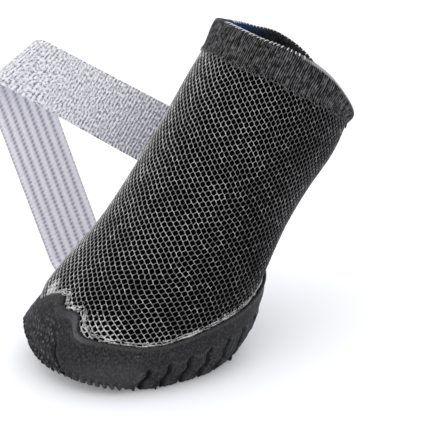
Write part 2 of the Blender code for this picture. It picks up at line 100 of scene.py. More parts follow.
def wander(place: Array, wavelength: float, seed: float) -> Array:
    """Return a smooth irregular value from -1 to 1: the mean of three sines of unrelated lengths.

    Args:
        place: Where along a line the value is wanted.
        wavelength: The length of the slowest of the three waves.
        seed: A number that shifts the waves.

    Returns:
        The value at each place.
    """
    turn = TURN * np.asarray(place) / wavelength
    return (np.sin(turn + seed) + np.sin(turn * 1.73 + seed * 2.3) + np.sin(turn * 2.91 + seed * 3.7)) / 3


def spline_rows(table: Array, t: Array) -> Array:
    """Read a table at t from 0 to 1 along the Catmull-Rom curve through its evenly spaced rows.

    Args:
        table: The rows, one for each knot.
        t: The share of the way from the first row to the last.

    Returns:
        The values, with the table's columns as the last axis.
    """
    last = len(table) - 1
    place = np.clip(t, 0, 1) * last
    index = np.minimum(place.astype(int), last - 1)
    f = (place - index)[..., None]
    padded = np.vstack([2 * table[0] - table[1], table, 2 * table[-1] - table[-2]])
    return catmull_rom([padded[index + k] for k in range(4)], f)


def catmull_rom(knots: Sequence[Array], f: Array) -> Array:
    """Work out the cubic that passes through the middle two of four knots.

    Args:
        knots: The four knots.
        f: The share of the way from the second knot to the third.

    Returns:
        The values on the cubic.
    """
    p0, p1, p2, p3 = knots
    return 0.5 * (2 * p1 + (p2 - p0) * f + (2 * p0 - 5 * p1 + 4 * p2 - p3) * f**2
                  + (3 * p1 - p0 - 3 * p2 + p3) * f**3)


def rounded(angle: Array, squareness: Array | float) -> tuple[Array, Array]:
    """Work out a superellipse: cosine and sine to the power 2 / squareness, with their signs kept.

    Args:
        angle: The angle, 0 forward.
        squareness: 2 for an ellipse and more for squarer corners.

    Returns:
        The forward and the left shares of the half axes.
    """
    power = 2 / squareness
    forward, left = np.cos(angle), np.sin(angle)
    return np.sign(forward) * np.abs(forward) ** power, np.sign(left) * np.abs(left) ** power


def signed_degrees(angle: Array) -> Array:
    """Return angles in degrees from -180 to 180."""
    return np.degrees(np.angle(np.exp(1j * angle)))


def unit(vectors: Array) -> Array:
    """Return the vectors with their length made 1."""
    return vectors / np.linalg.norm(vectors, axis=-1, keepdims=True)


def grid_quads(rows: int, columns: int, closed_columns: bool = True, closed_rows: bool = False) -> Array:
    """Return the quads of a grid of rows by columns, numbered row by row.

    Args:
        rows: How many rows of points the grid has.
        columns: How many points a row has.
        closed_columns: Whether the last column joins the first.
        closed_rows: Whether the last row joins the first.

    Returns:
        One row of four indices for each quad.
    """
    r = np.arange(rows if closed_rows else rows - 1)[:, None]
    c = np.arange(columns if closed_columns else columns - 1)[None, :]
    after, above = (c + 1) % columns, (r + 1) % rows
    corners = (r * columns + c, r * columns + after, above * columns + after, above * columns + c)
    return np.stack(corners, -1).reshape(-1, 4)


def tubes(paths: Array, radius: Array | float, sides: int = 6) -> tuple[Array, Array]:
    """Return the points and quads of round tubes along many paths at once.

    Each ring is the path's point plus the radius times a turning pair of directions square to the path, and the
    first and last rings shrink to close the ends.

    Args:
        paths: Points of the paths, in the shape (tubes, points, 3).
        radius: The tubes' radius, one or one for each point.
        sides: How many sides a tube has.

    Returns:
        The points and the quads.
    """
    count, length = paths.shape[:2]
    ahead = unit(np.gradient(paths, axis=1))
    spare = np.where(np.abs(ahead[..., 2:]) > 0.9, (1.0, 0, 0), (0, 0, 1.0))
    side = unit(np.cross(ahead, spare))
    up = np.cross(side, ahead)
    turn = TURN * np.arange(sides) / sides
    size = np.broadcast_to(np.asarray(radius, float), (count, length)).copy()
    size[:, 0] *= 0.05
    size[:, -1] *= 0.05
    ring = np.cos(turn)[:, None] * side[..., None, :] + np.sin(turn)[:, None] * up[..., None, :]
    points = paths[..., None, :] + ring * size[..., None, None]
    quads = grid_quads(length, sides)[None] + (np.arange(count) * length * sides)[:, None, None]
    return points.reshape(-1, 3), quads.reshape(-1, 4)


class Wire:
    """A shader socket that can be added, taken away, multiplied and so on, each adding one Math node."""

    def __init__(self, board: "Board", socket: bpy.types.NodeSocket) -> None:
        """Keep the board that the socket is on, and the socket."""
        self.board = board
        self.socket = socket

    def _maths(self, operation: str, first: Any, second: Any = 0.0) -> "Wire":
        """Return the result of one Math node."""
        return self.board.node(NodeKind.MATHS, {"operation": operation}, {0: first, 1: second})[0]

    def __add__(self, other: Any) -> "Wire":
        """Return the sum."""
        return self._maths("ADD", self, other)

    __radd__ = __add__

    def __mul__(self, other: Any) -> "Wire":
        """Return the product."""
        return self._maths("MULTIPLY", self, other)

    __rmul__ = __mul__

    def __sub__(self, other: Any) -> "Wire":
        """Return this less the other."""
        return self._maths("SUBTRACT", self, other)

    def __rsub__(self, other: Any) -> "Wire":
        """Return the other less this."""
        return self._maths("SUBTRACT", other, self)

    def __truediv__(self, other: Any) -> "Wire":
        """Return this over the other."""
        return self._maths("DIVIDE", self, other)

    def above(self, limit: float) -> "Wire":
        """Return 1 where this is over the limit and 0 elsewhere."""
        return self._maths("GREATER_THAN", self, limit)

    def sine(self) -> "Wire":
        """Return the sine."""
        return self._maths("SINE", self)

    def limited(self) -> "Wire":
        """Return the value held between 0 and 1."""
        return self.board.node(NodeKind.RANGE, {"clamp": True}, {0: self})[0]

    def between(self, low: float, high: float) -> "Wire":
        """Return 0 at low and 1 at high, with a smooth rise and held outside them."""
        return self.board.node(NodeKind.RANGE, {"interpolation_type": "SMOOTHSTEP"}, {0: self, 1: low, 2: high})[0]


class Board:
    """A material's node tree, with one method for every node."""

    def __init__(self, name: str) -> None:
        """Make the material with its Principled shader.

        Args:
            name: The material's name.
        """
        self.material = bpy.data.materials.new(name)
        self.material.use_nodes = True
        self.tree = self.material.node_tree
        self.shader = self.tree.nodes["Principled BSDF"]

    def node(self, kind: NodeKind, settings: dict[str, Any] | None = None,
             inputs: dict[int | str, Any] | None = None) -> list[Wire]:
        """Add a node.

        Args:
            kind: The node's type.
            settings: Its properties, set first.
            inputs: Values or wires by the number or name of a socket.

        Returns:
            The node's outputs.
        """
        item = self.tree.nodes.new(kind.value)
        for key, value in (settings or {}).items():
            setattr(item, key, value)
        for key, value in (inputs or {}).items():
            self.put(item.inputs[key], value)
        return [Wire(self, socket) for socket in item.outputs]

    def put(self, socket: bpy.types.NodeSocket, value: Any) -> None:
        """Link a wire to a socket, or set the socket's value.

        Args:
            socket: The socket.
            value: A wire, a number, or three numbers. A colour's fourth number is 1.
        """
        if isinstance(value, Wire):
            self.tree.links.new(value.socket, socket)
        elif isinstance(value, (int, float)):
            socket.default_value = value
        else:
            have = len(socket.default_value)
            socket.default_value = (*value, 1.0)[:have]

    def dress(self, **values: Any) -> bpy.types.Material:
        """Give the Principled shader its values or wires.

        Args:
            values: The values or wires by their sockets' names, with underscores for spaces.

        Returns:
            The material.
        """
        for key, value in values.items():
            self.put(self.shader.inputs[key.replace("_", " ")], value)
        return self.material

    def place(self) -> Wire:
        """Return the Object coordinates."""
        return self.node(NodeKind.COORDINATES)[3]

    def attribute(self, name: str) -> tuple[Wire, Wire]:
        """Return the vector and the number of an attribute of the mesh."""
        outputs = self.node(NodeKind.ATTRIBUTE, {"attribute_name": name})
        return outputs[1], outputs[2]

    def parts(self, vector: Wire) -> list[Wire]:
        """Return the three numbers of a vector."""
        return self.node(NodeKind.PARTS, None, {0: vector})

    def noise(self, place: Wire, scale: float, detail: float = 3.0, roughness: float = 0.55) -> Wire:
        """Return a cloud of noise from 0 to 1."""
        inputs = {"Vector": place, "Scale": scale, "Detail": detail, "Roughness": roughness}
        return self.node(NodeKind.NOISE, None, inputs)[0]

    def cells(self, place: Wire, scale: float) -> Wire:
        """Return the distance to the nearest of scattered points."""
        return self.node(NodeKind.CELLS, None, {"Vector": place, "Scale": scale})[0]

    def stretched(self, place: Wire, factors: Sequence[float]) -> Wire:
        """Return a vector with its three numbers multiplied."""
        return self.node(NodeKind.VECTOR, {"operation": "MULTIPLY"}, {0: place, 1: factors})[0]

    def mix(self, share: Any, first: Any, second: Any) -> Wire:
        """Return a colour between two, by a share."""
        outputs = self.node(NodeKind.MIX, {"data_type": "RGBA"}, {0: share, 6: first, 7: second})
        return outputs[2]

    def relief(self, height: Wire, depth: float, strength: float = 1.0, after: Wire | None = None) -> Wire:
        """Turn a height into a normal with a Bump node.

        Args:
            height: The height, from 0 to 1.
            depth: The depth in metres that 1 stands for.
            strength: How much of the bump is used.
            after: The normal that the bump is laid on.

        Returns:
            The normal.
        """
        inputs: dict[int | str, Any] = {"Height": height, "Distance": depth, "Strength": strength}
        if after is not None:
            inputs["Normal"] = after
        return self.node(NodeKind.BUMP, None, inputs)[0]


@dataclass(frozen=True)
class NetFinish:
    """Dark threads with a painted highlight: paler on their crowns, towards the front and on threads that face the
    light, with crumbs of glue near the toe's corner.
    """

    # thread is the colour of the threads' painted highlight; shade is the threads' own black.
    thread: Colour = (0.62, 0.62, 0.62)
    shade: Colour = (0.004, 0.004, 0.005)
    glue: Colour = (0.80, 0.80, 0.79)
    glue_at: tuple[float, float, float] = (21.5 * MM, -27.5 * MM, 18 * MM)
    glue_reach: float = 11.5 * MM
    smear_at: tuple[float, float, float] = (-8 * MM, -29 * MM, 24.5 * MM)
    smear_reach: float = 4.8 * MM

    def make(self) -> bpy.types.Material:
        """Paint the threads' highlight from their height over the holes, patches and specks of noise, which way a
        thread runs and which side of the boot it is on, stronger towards the front, then lay glue over it by the
        distance from the toe's corner and from the rubber's edge.

        Returns:
            The material.
        """
        board = Board("net threads")
        place = board.place()
        height = board.attribute("crown")[1]
        patches = board.noise(place, 60.0, 2.0)
        fine = board.noise(place, 1100.0, 2.0)
        knots = board.noise(place, 520.0, 1.0).between(0.52, 0.66)
        x, y, z = board.parts(place)
        # front and side place painted light: threads are painted paler towards the front, and running or cross
        # threads get a painted highlight by the side of the boot.
        front = ((y * -1.0 + z * 0.66) / MM).between(-6.0, 26.0)
        side = ((x + y * 0.4 - z * 0.26) / MM).between(4.0, 18.0)
        run = board.attribute("run")[1]
        facing_highlight = run * (1.08 - 0.50 * side) + (1 - run) * (0.66 + 0.45 * side)
        lit = height.between(0.50, 1.0) * (0.10 + 0.80 * patches + 0.60 * knots) * (0.10 + 1.7 * fine) * facing_highlight
        lit = lit * (0.62 + 1.0 * front)
        colour = board.mix(lit.limited(), self.shade, self.thread)
        offset = board.node(NodeKind.VECTOR, {"operation": "DISTANCE"}, {0: place, 1: self.glue_at})[1]
        near = 1 - (offset / self.glue_reach).between(0.25, 1.0)
        crumbs = (board.noise(place, 1700.0, 3.0, 0.7) + near * 0.20).between(0.60, 0.68)
        low = board.attribute("glue")[1]
        smear = (board.noise(place, 1300.0, 2.0) + low * 0.24).between(0.64, 0.74) * low.above(0.05)
        offset = board.node(NodeKind.VECTOR, {"operation": "DISTANCE"}, {0: place, 1: self.smear_at})[1]
        patch = 1 - (offset / self.smear_reach).between(0.5, 1.0)
        smear = smear + patch * board.noise(place, 500.0).between(0.3, 0.5)
        coated = (crumbs * near.above(0.02) * (0.35 + 0.65 * height) + smear).limited()
        colour = board.mix(coated, colour, self.glue)
        normal = board.relief(fine, 0.06 * MM, 0.6)
        return board.dress(Base_Color=colour, Roughness=0.8 - 0.3 * coated, Normal=normal, Specular_IOR_Level=0.12)


@dataclass(frozen=True)
class LiningFinish:
    """A black ribbed lining with a painted bluish reflection inside the collar's front."""

    colour: Colour = (0.0012, 0.0012, 0.0014)
    # A painted bluish reflection, inside the collar's front.
    blue_reflection: Colour = (0.004, 0.016, 0.055)
    rib: Colour = (0.009, 0.009, 0.011)
    rib_count: int = 150

    def make(self) -> bpy.types.Material:
        """Mix ribs along the shaft by the sine of the angle, with a painted bluish reflection inside the front.

        Returns:
            The material.
        """
        board = Board("sock lining")
        around, _, inner = board.parts(board.attribute("round")[0])
        ribs = (around * (TURN * self.rib_count)).sine() * 0.5 + 0.5
        place = board.place()
        _, y, z = board.parts(place)
        # front marks where the painted bluish reflection lies on the inner face.
        front = ((1 - (y / MM).between(38, 58)) * (z / MM).between(66, 82)).limited() * inner
        colour = board.mix(front * (0.45 + 0.55 * ribs), self.colour, self.blue_reflection)
        colour = board.mix(ribs * inner * 0.5, colour, self.rib)
        return board.dress(Base_Color=colour, Roughness=0.9, Normal=board.relief(ribs, 0.25 * MM, 0.7),
                           Specular_IOR_Level=0.05)


@dataclass(frozen=True)
class KnitFinish:
    """Charcoal rib knit with a hairy, uneven grey on its ribs, a painted highlight on the ribs' crowns, and on its
    inner face painted shade with a painted bluish reflection at the front.
    """

    dark: Colour = (0.004, 0.004, 0.0045)
    pale: Colour = (0.175, 0.175, 0.178)
    # A painted bluish reflection on the inner face's front.
    blue_reflection: Colour = (0.006, 0.030, 0.10)
    edge: Colour = (0.36, 0.36, 0.36)

    def make(self) -> bpy.types.Material:
        """Mix the greys from the ribs' height, as a painted highlight, and from streaks of noise drawn out across the
        band; the inner face is darkened as painted shade and tinted at the front with a painted bluish reflection.

        Returns:
            The material.
        """
        board = Board("rib knit")
        along, down, within = board.parts(board.attribute("knit")[0])
        height = board.attribute("crown")[1]
        streak_at = board.node(NodeKind.JOIN, None, {0: along, 1: down * 0.2, 2: 0.0})[0]
        streaks = board.noise(streak_at, 1500.0, 2.0, 0.6)
        loops = board.noise(board.place(), 1000.0, 3.0, 0.6)
        lit = (height * 0.62 + (streaks - 0.5) * 2.2 + (loops - 0.5) * 1.8 - 0.12).limited()
        # The inner face (within) is darkened: painted shade.
        colour = board.mix(lit * (1 - 0.75 * within), self.dark, self.pale)
        _, y, _ = board.parts(board.place())
        # A painted bluish reflection inside the collar's front.
        front = (1 - (y / MM).between(40.0, 56.0)) * within
        colour = board.mix(front.limited(), colour, self.blue_reflection)
        colour = board.mix(height.between(1.05, 1.8) * 0.85, colour, self.edge)
        normal = board.relief(streaks * 0.6 + loops * 0.4, 0.22 * MM, 0.9)
        return board.dress(Base_Color=colour, Roughness=0.88, Normal=normal, Specular_IOR_Level=0.15)


@dataclass(frozen=True)
class ThreadFinish:
    """Plain sewing thread in one grey."""

    name: str
    colour: Colour

    def make(self) -> bpy.types.Material:
        """Mix the grey with a fine grain of fibres.

        Returns:
            The material.
        """
        board = Board(self.name)
        fine = board.noise(board.place(), 2600.0, 2.0)
        colour = board.mix(fine, tuple(0.55 * c for c in self.colour), self.colour)
        return board.dress(Base_Color=colour, Roughness=0.75, Normal=board.relief(fine, 0.05 * MM, 0.7))


@dataclass(frozen=True)
class RubberFinish:
    """Matt charcoal rubber: fine grain, a pebbled toe strip, dusty patches, scuffs, pale edges from abrasion and a
    painted highlight, and painted shade in the slots, cuts, groove and between the pebbles.
    """

    cool: Colour = (0.0065, 0.0067, 0.0088)
    warm: Colour = (0.0078, 0.0076, 0.0072)
    dusty: Colour = (0.045, 0.045, 0.049)
    # The pale grey of edges and pebble tops is abrasion with a painted highlight; the two darkest greys are painted
    # shade between the pebbles and in the slots, cuts and groove.
    wear_and_highlight_grey: Colour = (0.125, 0.125, 0.130)
    scuff: Colour = (0.20, 0.195, 0.19)
    shade_between_pebbles: Colour = (0.002, 0.002, 0.003)
    recess_shade: Colour = (0.0005, 0.0005, 0.0015)

    def make(self) -> bpy.types.Material:
        """Mix the rubber's greys: dust by slow noise, scuffs by thin noise, pale edges where the crown is over 0
        (abrasion and a painted highlight), painted shade where it is under 0, and pebbles where the strip attribute
        is 1, with pale tops (abrasion and a painted highlight) and painted shade between them.

        Returns:
            The material.
        """
        board = Board("charcoal rubber")
        place = board.place()
        strip = board.attribute("strip")[1]
        wear_highlight_and_shade = board.attribute("crown")[1]
        wear_and_highlight, shade = wear_highlight_and_shade.limited(), (wear_highlight_and_shade * -1.0).limited()
        up = board.parts(place)[2]
        dust = board.noise(place, 85.0, 4.0, 0.6)
        grain = board.noise(place, 1300.0, 3.0, 0.6)
        speckle = board.noise(board.stretched(place, (1.0, 1.0, 0.7)), 1900.0, 2.0, 0.7)
        pebbles = board.cells(board.stretched(place, (1.0, 1.0, 0.8)), 900.0)
        scratches = board.noise(board.stretched(place, (1.0, 0.35, 1.8)), 620.0, 3.0, 0.7)
        specks = (scratches.between(0.64, 0.72) * dust.between(0.40, 0.6)).limited()
        colour = board.mix((up / MM).between(10.0, 15.0), self.cool, self.warm)
        colour = board.mix((speckle.between(0.38, 0.72) * (0.35 + 1.1 * dust)).limited(), colour, self.dusty)
        # Pale edges: abrasion together with a painted highlight.
        colour = board.mix((wear_and_highlight * (0.10 + 0.85 * grain)).limited(), colour, self.wear_and_highlight_grey)
        colour = board.mix(specks * 0.45, colour, self.scuff)
        # Pebble tops painted pale, abrasion with a painted highlight, and the gaps between them painted in shade.
        tops = (1 - pebbles.between(0.10, 0.50)) * strip * speckle.between(0.30, 0.65)
        colour = board.mix((tops * 0.85).limited(), colour, self.wear_and_highlight_grey)
        colour = board.mix((strip * pebbles.between(0.35, 0.75) * 0.7).limited(), colour, self.shade_between_pebbles)
        # Painted shade in the slots, cuts and groove.
        colour = board.mix((shade * 0.92).limited(), colour, self.recess_shade)
        normal = board.relief(grain, 0.05 * MM, 0.5)
        normal = board.relief(1 - pebbles, 0.45 * MM, strip * 0.85 + 0.04, normal)
        normal = board.relief(board.noise(place, 260.0, 3.0, 0.6), 0.22 * MM, 0.5, normal)
        return board.dress(Base_Color=colour, Roughness=0.55 + 0.16 * grain, Normal=normal, Specular_IOR_Level=0.16,
                           Coat_Weight=0.04 * (1 - strip), Coat_Roughness=0.4)


@dataclass(frozen=True)
class GlueFinish:
    """Cloudy whitish cement, darker where it is thin."""

    pale: Colour = (0.62, 0.62, 0.60)
    thin: Colour = (0.10, 0.10, 0.105)

    def make(self) -> bpy.types.Material:
        """Mix thick and thin stretches by noise.

        Returns:
            The material.
        """
        board = Board("sole cement")
        place = board.place()
        runs = board.noise(place, 210.0, 3.0, 0.6) * 0.55 + board.noise(place, 1500.0, 2.0) * 0.45
        colour = board.mix(runs.between(0.38, 0.62), self.thin, self.pale)
        return board.dress(Base_Color=colour, Roughness=0.45, Normal=board.relief(runs, 0.2 * MM, 0.8))


@dataclass(frozen=True)
class WebbingFinish:
    """Pale lilac-grey webbing: rows of brushed loops on one face and lengthwise ribs on the other."""

    pale: Colour = (0.80, 0.80, 0.83)
    shade: Colour = (0.17, 0.16, 0.23)
    ridge: Colour = (0.86, 0.85, 0.90)
    soft: Colour = (0.36, 0.345, 0.43)
    row_pitch: float = 1.05 * MM
    dash_pitch: float = 1.5 * MM
    dash_slant: float = 5.7 * MM
    fold: tuple[float, float] = (45.0, 95.0)
    # clearer also sets where the painted shadow under the fold fades out.
    clearer: tuple[float, float] = (105.0, 135.0)

    def make(self) -> bpy.types.Material:
        """Mix broken rows of loops on the piled face, paler towards the fold, and on the other face the ribs' height
        with slanted dashes, the grooves painted darker as shade, clearer down the hanging part and with a painted
        shadow near the fold. The ranges are millimetres along the webbing.

        Returns:
            The material.
        """
        board = Board("webbing")
        along, across, face = board.parts(board.attribute("webbing")[0])
        height = board.attribute("crown")[1]
        flat = board.node(NodeKind.JOIN, None, {0: along, 1: across * 0.55, 2: face})[0]
        sway = board.noise(board.stretched(flat, (1.0, 0.5, 1.0)), 420.0, 2.0)
        rows = (along * (TURN / self.row_pitch) + (sway - 0.5) * 3.5).sine() * 0.5 + 0.5
        tufts = board.noise(flat, 1750.0, 2.0, 0.7)
        far = (along / MM).between(*self.fold)
        loops = ((rows - 0.5) * (1.00 - 0.55 * far) + (tufts - 0.5) * 4.2 + 0.36 + 0.36 * far).limited()
        dashes = (along * (TURN / self.dash_pitch) + across * (TURN / self.dash_slant)).sine() * 0.5 + 0.5
        grain = board.noise(flat, 1800.0, 2.0, 0.6)
        low = (along / MM).between(*self.clearer)
        clear = 0.35 + 0.65 * low
        # The ribs' height darkens the grooves between them, a painted shade, and the 0.10 taken off near the fold is
        # a painted shadow under the fold.
        plain = (1 - clear) * 0.58 + clear * (height * 1.05 + (dashes - 0.5) * (0.75 - 0.7 * height))
        plain = board.mix((plain + (grain - 0.5) * 0.8 - 0.10 * (1 - low)).limited(), self.soft, self.ridge)
        pile = board.mix(loops, self.shade, self.pale)
        colour = board.mix(face, plain, pile)
        normal = board.relief(loops * face + dashes * (1 - face) * 0.4, 0.30 * MM, 0.7)
        return board.dress(Base_Color=colour, Roughness=0.85, Normal=normal, Sheen_Weight=0.2, Sheen_Roughness=0.4)


@dataclass(frozen=True)
class FeltFinish:
    """Dark felt of the insole, with a fleck of paler fibres."""

    dark: Colour = (0.012, 0.012, 0.014)
    fleck: Colour = (0.07, 0.07, 0.075)

    def make(self) -> bpy.types.Material:
        """Mix pale flecks into the felt by drawn-out noise.

        Returns:
            The material.
        """
        board = Board("insole felt")
        fibres = board.noise(board.stretched(board.place(), (1.0, 0.4, 1.0)), 1300.0, 4.0, 0.7)
        colour = board.mix(fibres.between(0.5, 0.75), self.dark, self.fleck)
        return board.dress(Base_Color=colour, Roughness=0.95, Normal=board.relief(fibres, 0.3 * MM, 0.8))


@dataclass(frozen=True)
class GroundFinish:
    """The plain pale floor."""

    colour: Colour = (0.86, 0.865, 0.885)
    glow: Colour = (1.0, 1.0, 1.0)
    glow_strength: float = 0.13

    def make(self) -> bpy.types.Material:
        """Return the material."""
        return Board("pale floor").dress(Base_Color=self.colour, Roughness=0.9, Emission_Color=self.glow,
                                        Emission_Strength=self.glow_strength)


def make_piece(name: str, points: Array, quads: Array | Sequence[Sequence[int]], material: bpy.types.Material,
               numbers: dict[str, Array] | None = None, merge: float = 0.0) -> bpy.types.Object:
    """Make a smooth mesh object; when points are merged, its faces are also turned to point outwards.

    Args:
        name: The object's name.
        points: Its points, in any shape that ends in 3.
        quads: Its faces.
        material: Its finish.
        numbers: Attributes by name, one number or one vector for each point.
        merge: Points closer than this are made one.

    Returns:
        The object.
    """
    mesh = bpy.data.meshes.new(name)
    flat = np.asarray(points, float).reshape(-1, 3)
    mesh.from_pydata(flat.tolist(), [], np.asarray(quads).tolist() if isinstance(quads, np.ndarray) else quads)
    for key, values in (numbers or {}).items():
        vector = values.ndim > 1 and values.shape[-1] == 3 and values.size == flat.size
        layer = mesh.attributes.new(key, "FLOAT_VECTOR" if vector else "FLOAT", "POINT")
        layer.data.foreach_set("vector" if vector else "value", np.ascontiguousarray(values, np.float32).ravel())
    if merge:
        shape = bmesh.new()
        shape.from_mesh(mesh)
        bmesh.ops.remove_doubles(shape, verts=shape.verts, dist=merge)
        bmesh.ops.recalc_face_normals(shape, faces=shape.faces)
        shape.to_mesh(mesh)
        shape.free()
    mesh.materials.append(material)
    mesh.shade_smooth()
    item = bpy.data.objects.new(name, mesh)
    bpy.context.scene.collection.objects.link(item)
    return item


@dataclass(frozen=True)
class BootForm:
    """The surfaces that the boot's pieces share: the sock's outside and the sole's wall."""

    sole_length: float = 76 * MM
    sole_width: float = 63 * MM
    height: float = 100 * MM
    fit_gap: float = 0.5 * MM
    edge_wall: float = 2.3 * MM
    swing: float = 0.055
    swing_fade: tuple[float, float] = (0.15, 0.55)
    follows_cloth: tuple[float, float] = (11 * MM, 17 * MM)
    sole_squareness: float = 2.25
    # Columns: front y, front z, back y, back z, half width, squareness, share of the collar's lifts.
    rows: Array = field(default_factory=lambda: np.array([
        (-0.396, 0.054, 0.352, 0.054, 0.805, 2.20, 0.00),
        (-0.429, 0.120, 0.404, 0.110, 0.893, 2.20, 0.00),
        (-0.416, 0.190, 0.446, 0.165, 0.905, 2.20, 0.00),
        (-0.345, 0.250, 0.480, 0.215, 0.883, 2.20, 0.00),
        (-0.254, 0.315, 0.513, 0.260, 0.850, 2.20, 0.00),
        (-0.155, 0.390, 0.550, 0.305, 0.806, 2.15, 0.00),
        (-0.033, 0.510, 0.605, 0.365, 0.757, 2.10, 0.00),
        (0.109, 0.660, 0.691, 0.445, 0.721, 2.10, 0.08),
        (0.252, 0.815, 0.809, 0.540, 0.702, 2.10, 0.38),
        (0.388, 0.940, 0.879, 0.642, 0.686, 2.10, 1.00),
    ]))
    lifts: Array = field(default_factory=lambda: MM * np.array(
        [1.5, 11.0, 12.7, 8.6, 4.6, 2.5, 2.0, 2.6, 4.9, 5.7, 2.8, 0.3]))
    # Columns: height in mm, front y, back y, half width.
    sole_rows: Array = field(default_factory=lambda: np.array([
        (0.0, -0.450, 0.340, 0.815), (1.5, -0.470, 0.368, 0.860), (4.0, -0.482, 0.397, 0.908),
        (8.0, -0.490, 0.430, 0.960), (13.0, -0.488, 0.458, 0.992), (18.0, -0.465, 0.475, 0.985),
    ]))
    # Columns: angle, height of the rubber's edge in mm.
    edge_rows: Array = field(default_factory=lambda: np.array([
        (-180, 22.5), (-165, 22.0), (-150, 21.0), (-135, 19.5), (-120, 18.0), (-90, 16.8), (-63, 15.5),
        (-51, 14.9), (-37, 14.2), (-25, 15.0), (-14, 18.0), (-9, 21.2), (-4, 23.3), (0, 24.3), (4, 24.5),
        (6, 24.0), (8, 22.9), (13, 22.6), (20, 23.0), (24, 22.4), (26.5, 20.8), (29, 19.0), (34, 17.8),
        (42, 17.2), (56, 16.3), (68, 15.3), (80, 15.2), (94, 16.4), (106, 17.5), (120, 18.4), (135, 20.0),
        (150, 21.0), (165, 22.0), (180, 22.5),
    ]))
    spring_start: float = -10 * MM
    spring_rise: float = 5.5 * MM
    spring_top: float = 14 * MM
    spring_power: float = 1.6
    heel_start: float = 6 * MM
    heel_rise: float = 2.4 * MM

    def swung(self, x: Array, y: Array, z: Array) -> Array:
        """Return y moved with x near the ground, so that the foot's front swings to the left."""
        low, high = (share * self.height for share in self.swing_fade)
        return y - self.swing * x * (1 - smooth_step(low, high, z))

    def lift(self, angle: Array) -> Array:
        """Read the collar's lifts along the closed Catmull-Rom curve through them.

        Args:
            angle: The angle round the boot.

        Returns:
            How far the collar's rim rises over its slanted plane.
        """
        count = len(self.lifts)
        place = (np.asarray(angle) / TURN + 0.5) % 1.0 * count
        index = np.floor(place).astype(int)
        return catmull_rom([self.lifts[(index + k) % count] for k in (-1, 0, 1, 2)], place - index)

    def sock(self, t: Array | float, angle: Array | float) -> Array:
        """Return the sock's outside: slanted superellipses between a front and a back line.

        Args:
            t: From 0 at the lower edge to 1 at the collar.
            angle: The angle round the boot.

        Returns:
            The points.
        """
        t, angle = np.broadcast_arrays(np.asarray(t, float), np.asarray(angle, float))
        row = spline_rows(self.rows, t)
        front_y, back_y = row[..., 0] * self.sole_length, row[..., 2] * self.sole_length
        front_z, back_z = row[..., 1] * self.height, row[..., 3] * self.height
        forward, left = rounded(angle, row[..., 5])
        x = row[..., 4] * self.sole_width / 2 * left
        y = (front_y + back_y) / 2 + (front_y - back_y) / 2 * forward
        z = (front_z + back_z) / 2 + (front_z - back_z) / 2 * forward + row[..., 6] * self.lift(angle)
        return np.stack([x, self.swung(x, y, z), z], -1)

    def normal(self, t: Array | float, angle: Array | float) -> Array:
        """Work out the sock's normals as the cross product of its two slopes.

        Args:
            t: From 0 at the lower edge to 1 at the collar.
            angle: The angle round the boot.

        Returns:
            The outward unit normals.
        """
        t, step = np.asarray(t, float), 1e-3
        along = self.sock(np.clip(t + step, 0, 1), angle) - self.sock(np.clip(t - step, 0, 1), angle)
        around = self.sock(t, np.asarray(angle) + step) - self.sock(t, np.asarray(angle) - step)
        return unit(np.cross(around, along))

    def over_sock(self, t: Array | float, angle: Array | float, distance: Array | float) -> Array:
        """Return points at a distance outside the sock's outer face."""
        t, angle = np.broadcast_arrays(np.asarray(t, float), np.asarray(angle, float))
        return self.sock(t, angle) + self.normal(t, angle) * np.asarray(distance, float)[..., None]

    def cloth_level(self, angle: Array, z: Array) -> tuple[Array, Array, Array, Array]:
        """Find where each column of the sock reaches a height, by interpolating along the column.

        The level normal is square to the step from the column before to the column after, at the same height.

        Args:
            angle: The columns' angles, all round the boot.
            z: The heights, with the columns as the last axis.

        Returns:
            The x and the y of the places, and the x and the y of their level outward unit normals.
        """
        column = self.sock(np.linspace(0, 1, 160)[:, None], angle[None, :])
        x, y, side_x, side_y = (np.empty_like(z) for _ in range(4))
        for c in range(len(angle)):
            here, before, after = (column[:, i % len(angle)] for i in (c, c - 1, c + 1))
            x[..., c] = np.interp(z[..., c], here[:, 2], here[:, 0])
            y[..., c] = np.interp(z[..., c], here[:, 2], here[:, 1])
            for side, axis in ((side_x, 0), (side_y, 1)):
                side[..., c] = (np.interp(z[..., c], after[:, 2], after[:, axis])
                                - np.interp(z[..., c], before[:, 2], before[:, axis]))
        length = np.hypot(side_x, side_y)
        return x, y, side_y / length, -side_x / length

    def cup(self, angle: Array, z: Array | float, gap: Array | float) -> Array:
        """Work out a level line outside the cloth.

        Args:
            angle: The columns' angles, all round the boot.
            z: The height, one or one for each column.
            gap: How far outside the cloth the points are, measured level.

        Returns:
            The points.
        """
        z = np.broadcast_to(np.asarray(z, float), angle.shape).copy()
        x, y, normal_x, normal_y = self.cloth_level(angle, z)
        return np.stack([x + normal_x * gap, y + normal_y * gap, z], -1)

    def spring(self, y: Array, z: Array) -> Array:
        """Work out how the sole curls up: a power of the share past the spring's line or the heel's, fading upwards.

        Args:
            y: The places along the boot.
            z: The heights before the lift.

        Returns:
            How far each place is lifted.
        """
        share = np.clip((self.spring_start - y) / (self.spring_start + self.sole_length / 2), 0, 1.2)
        share = share ** self.spring_power
        heel = np.clip((y - self.heel_start) / (self.sole_length / 2 - self.heel_start), 0, 1.2) ** self.spring_power
        return (self.spring_rise * share + self.heel_rise * heel) * np.clip(1 - z / self.spring_top, 0, 1)

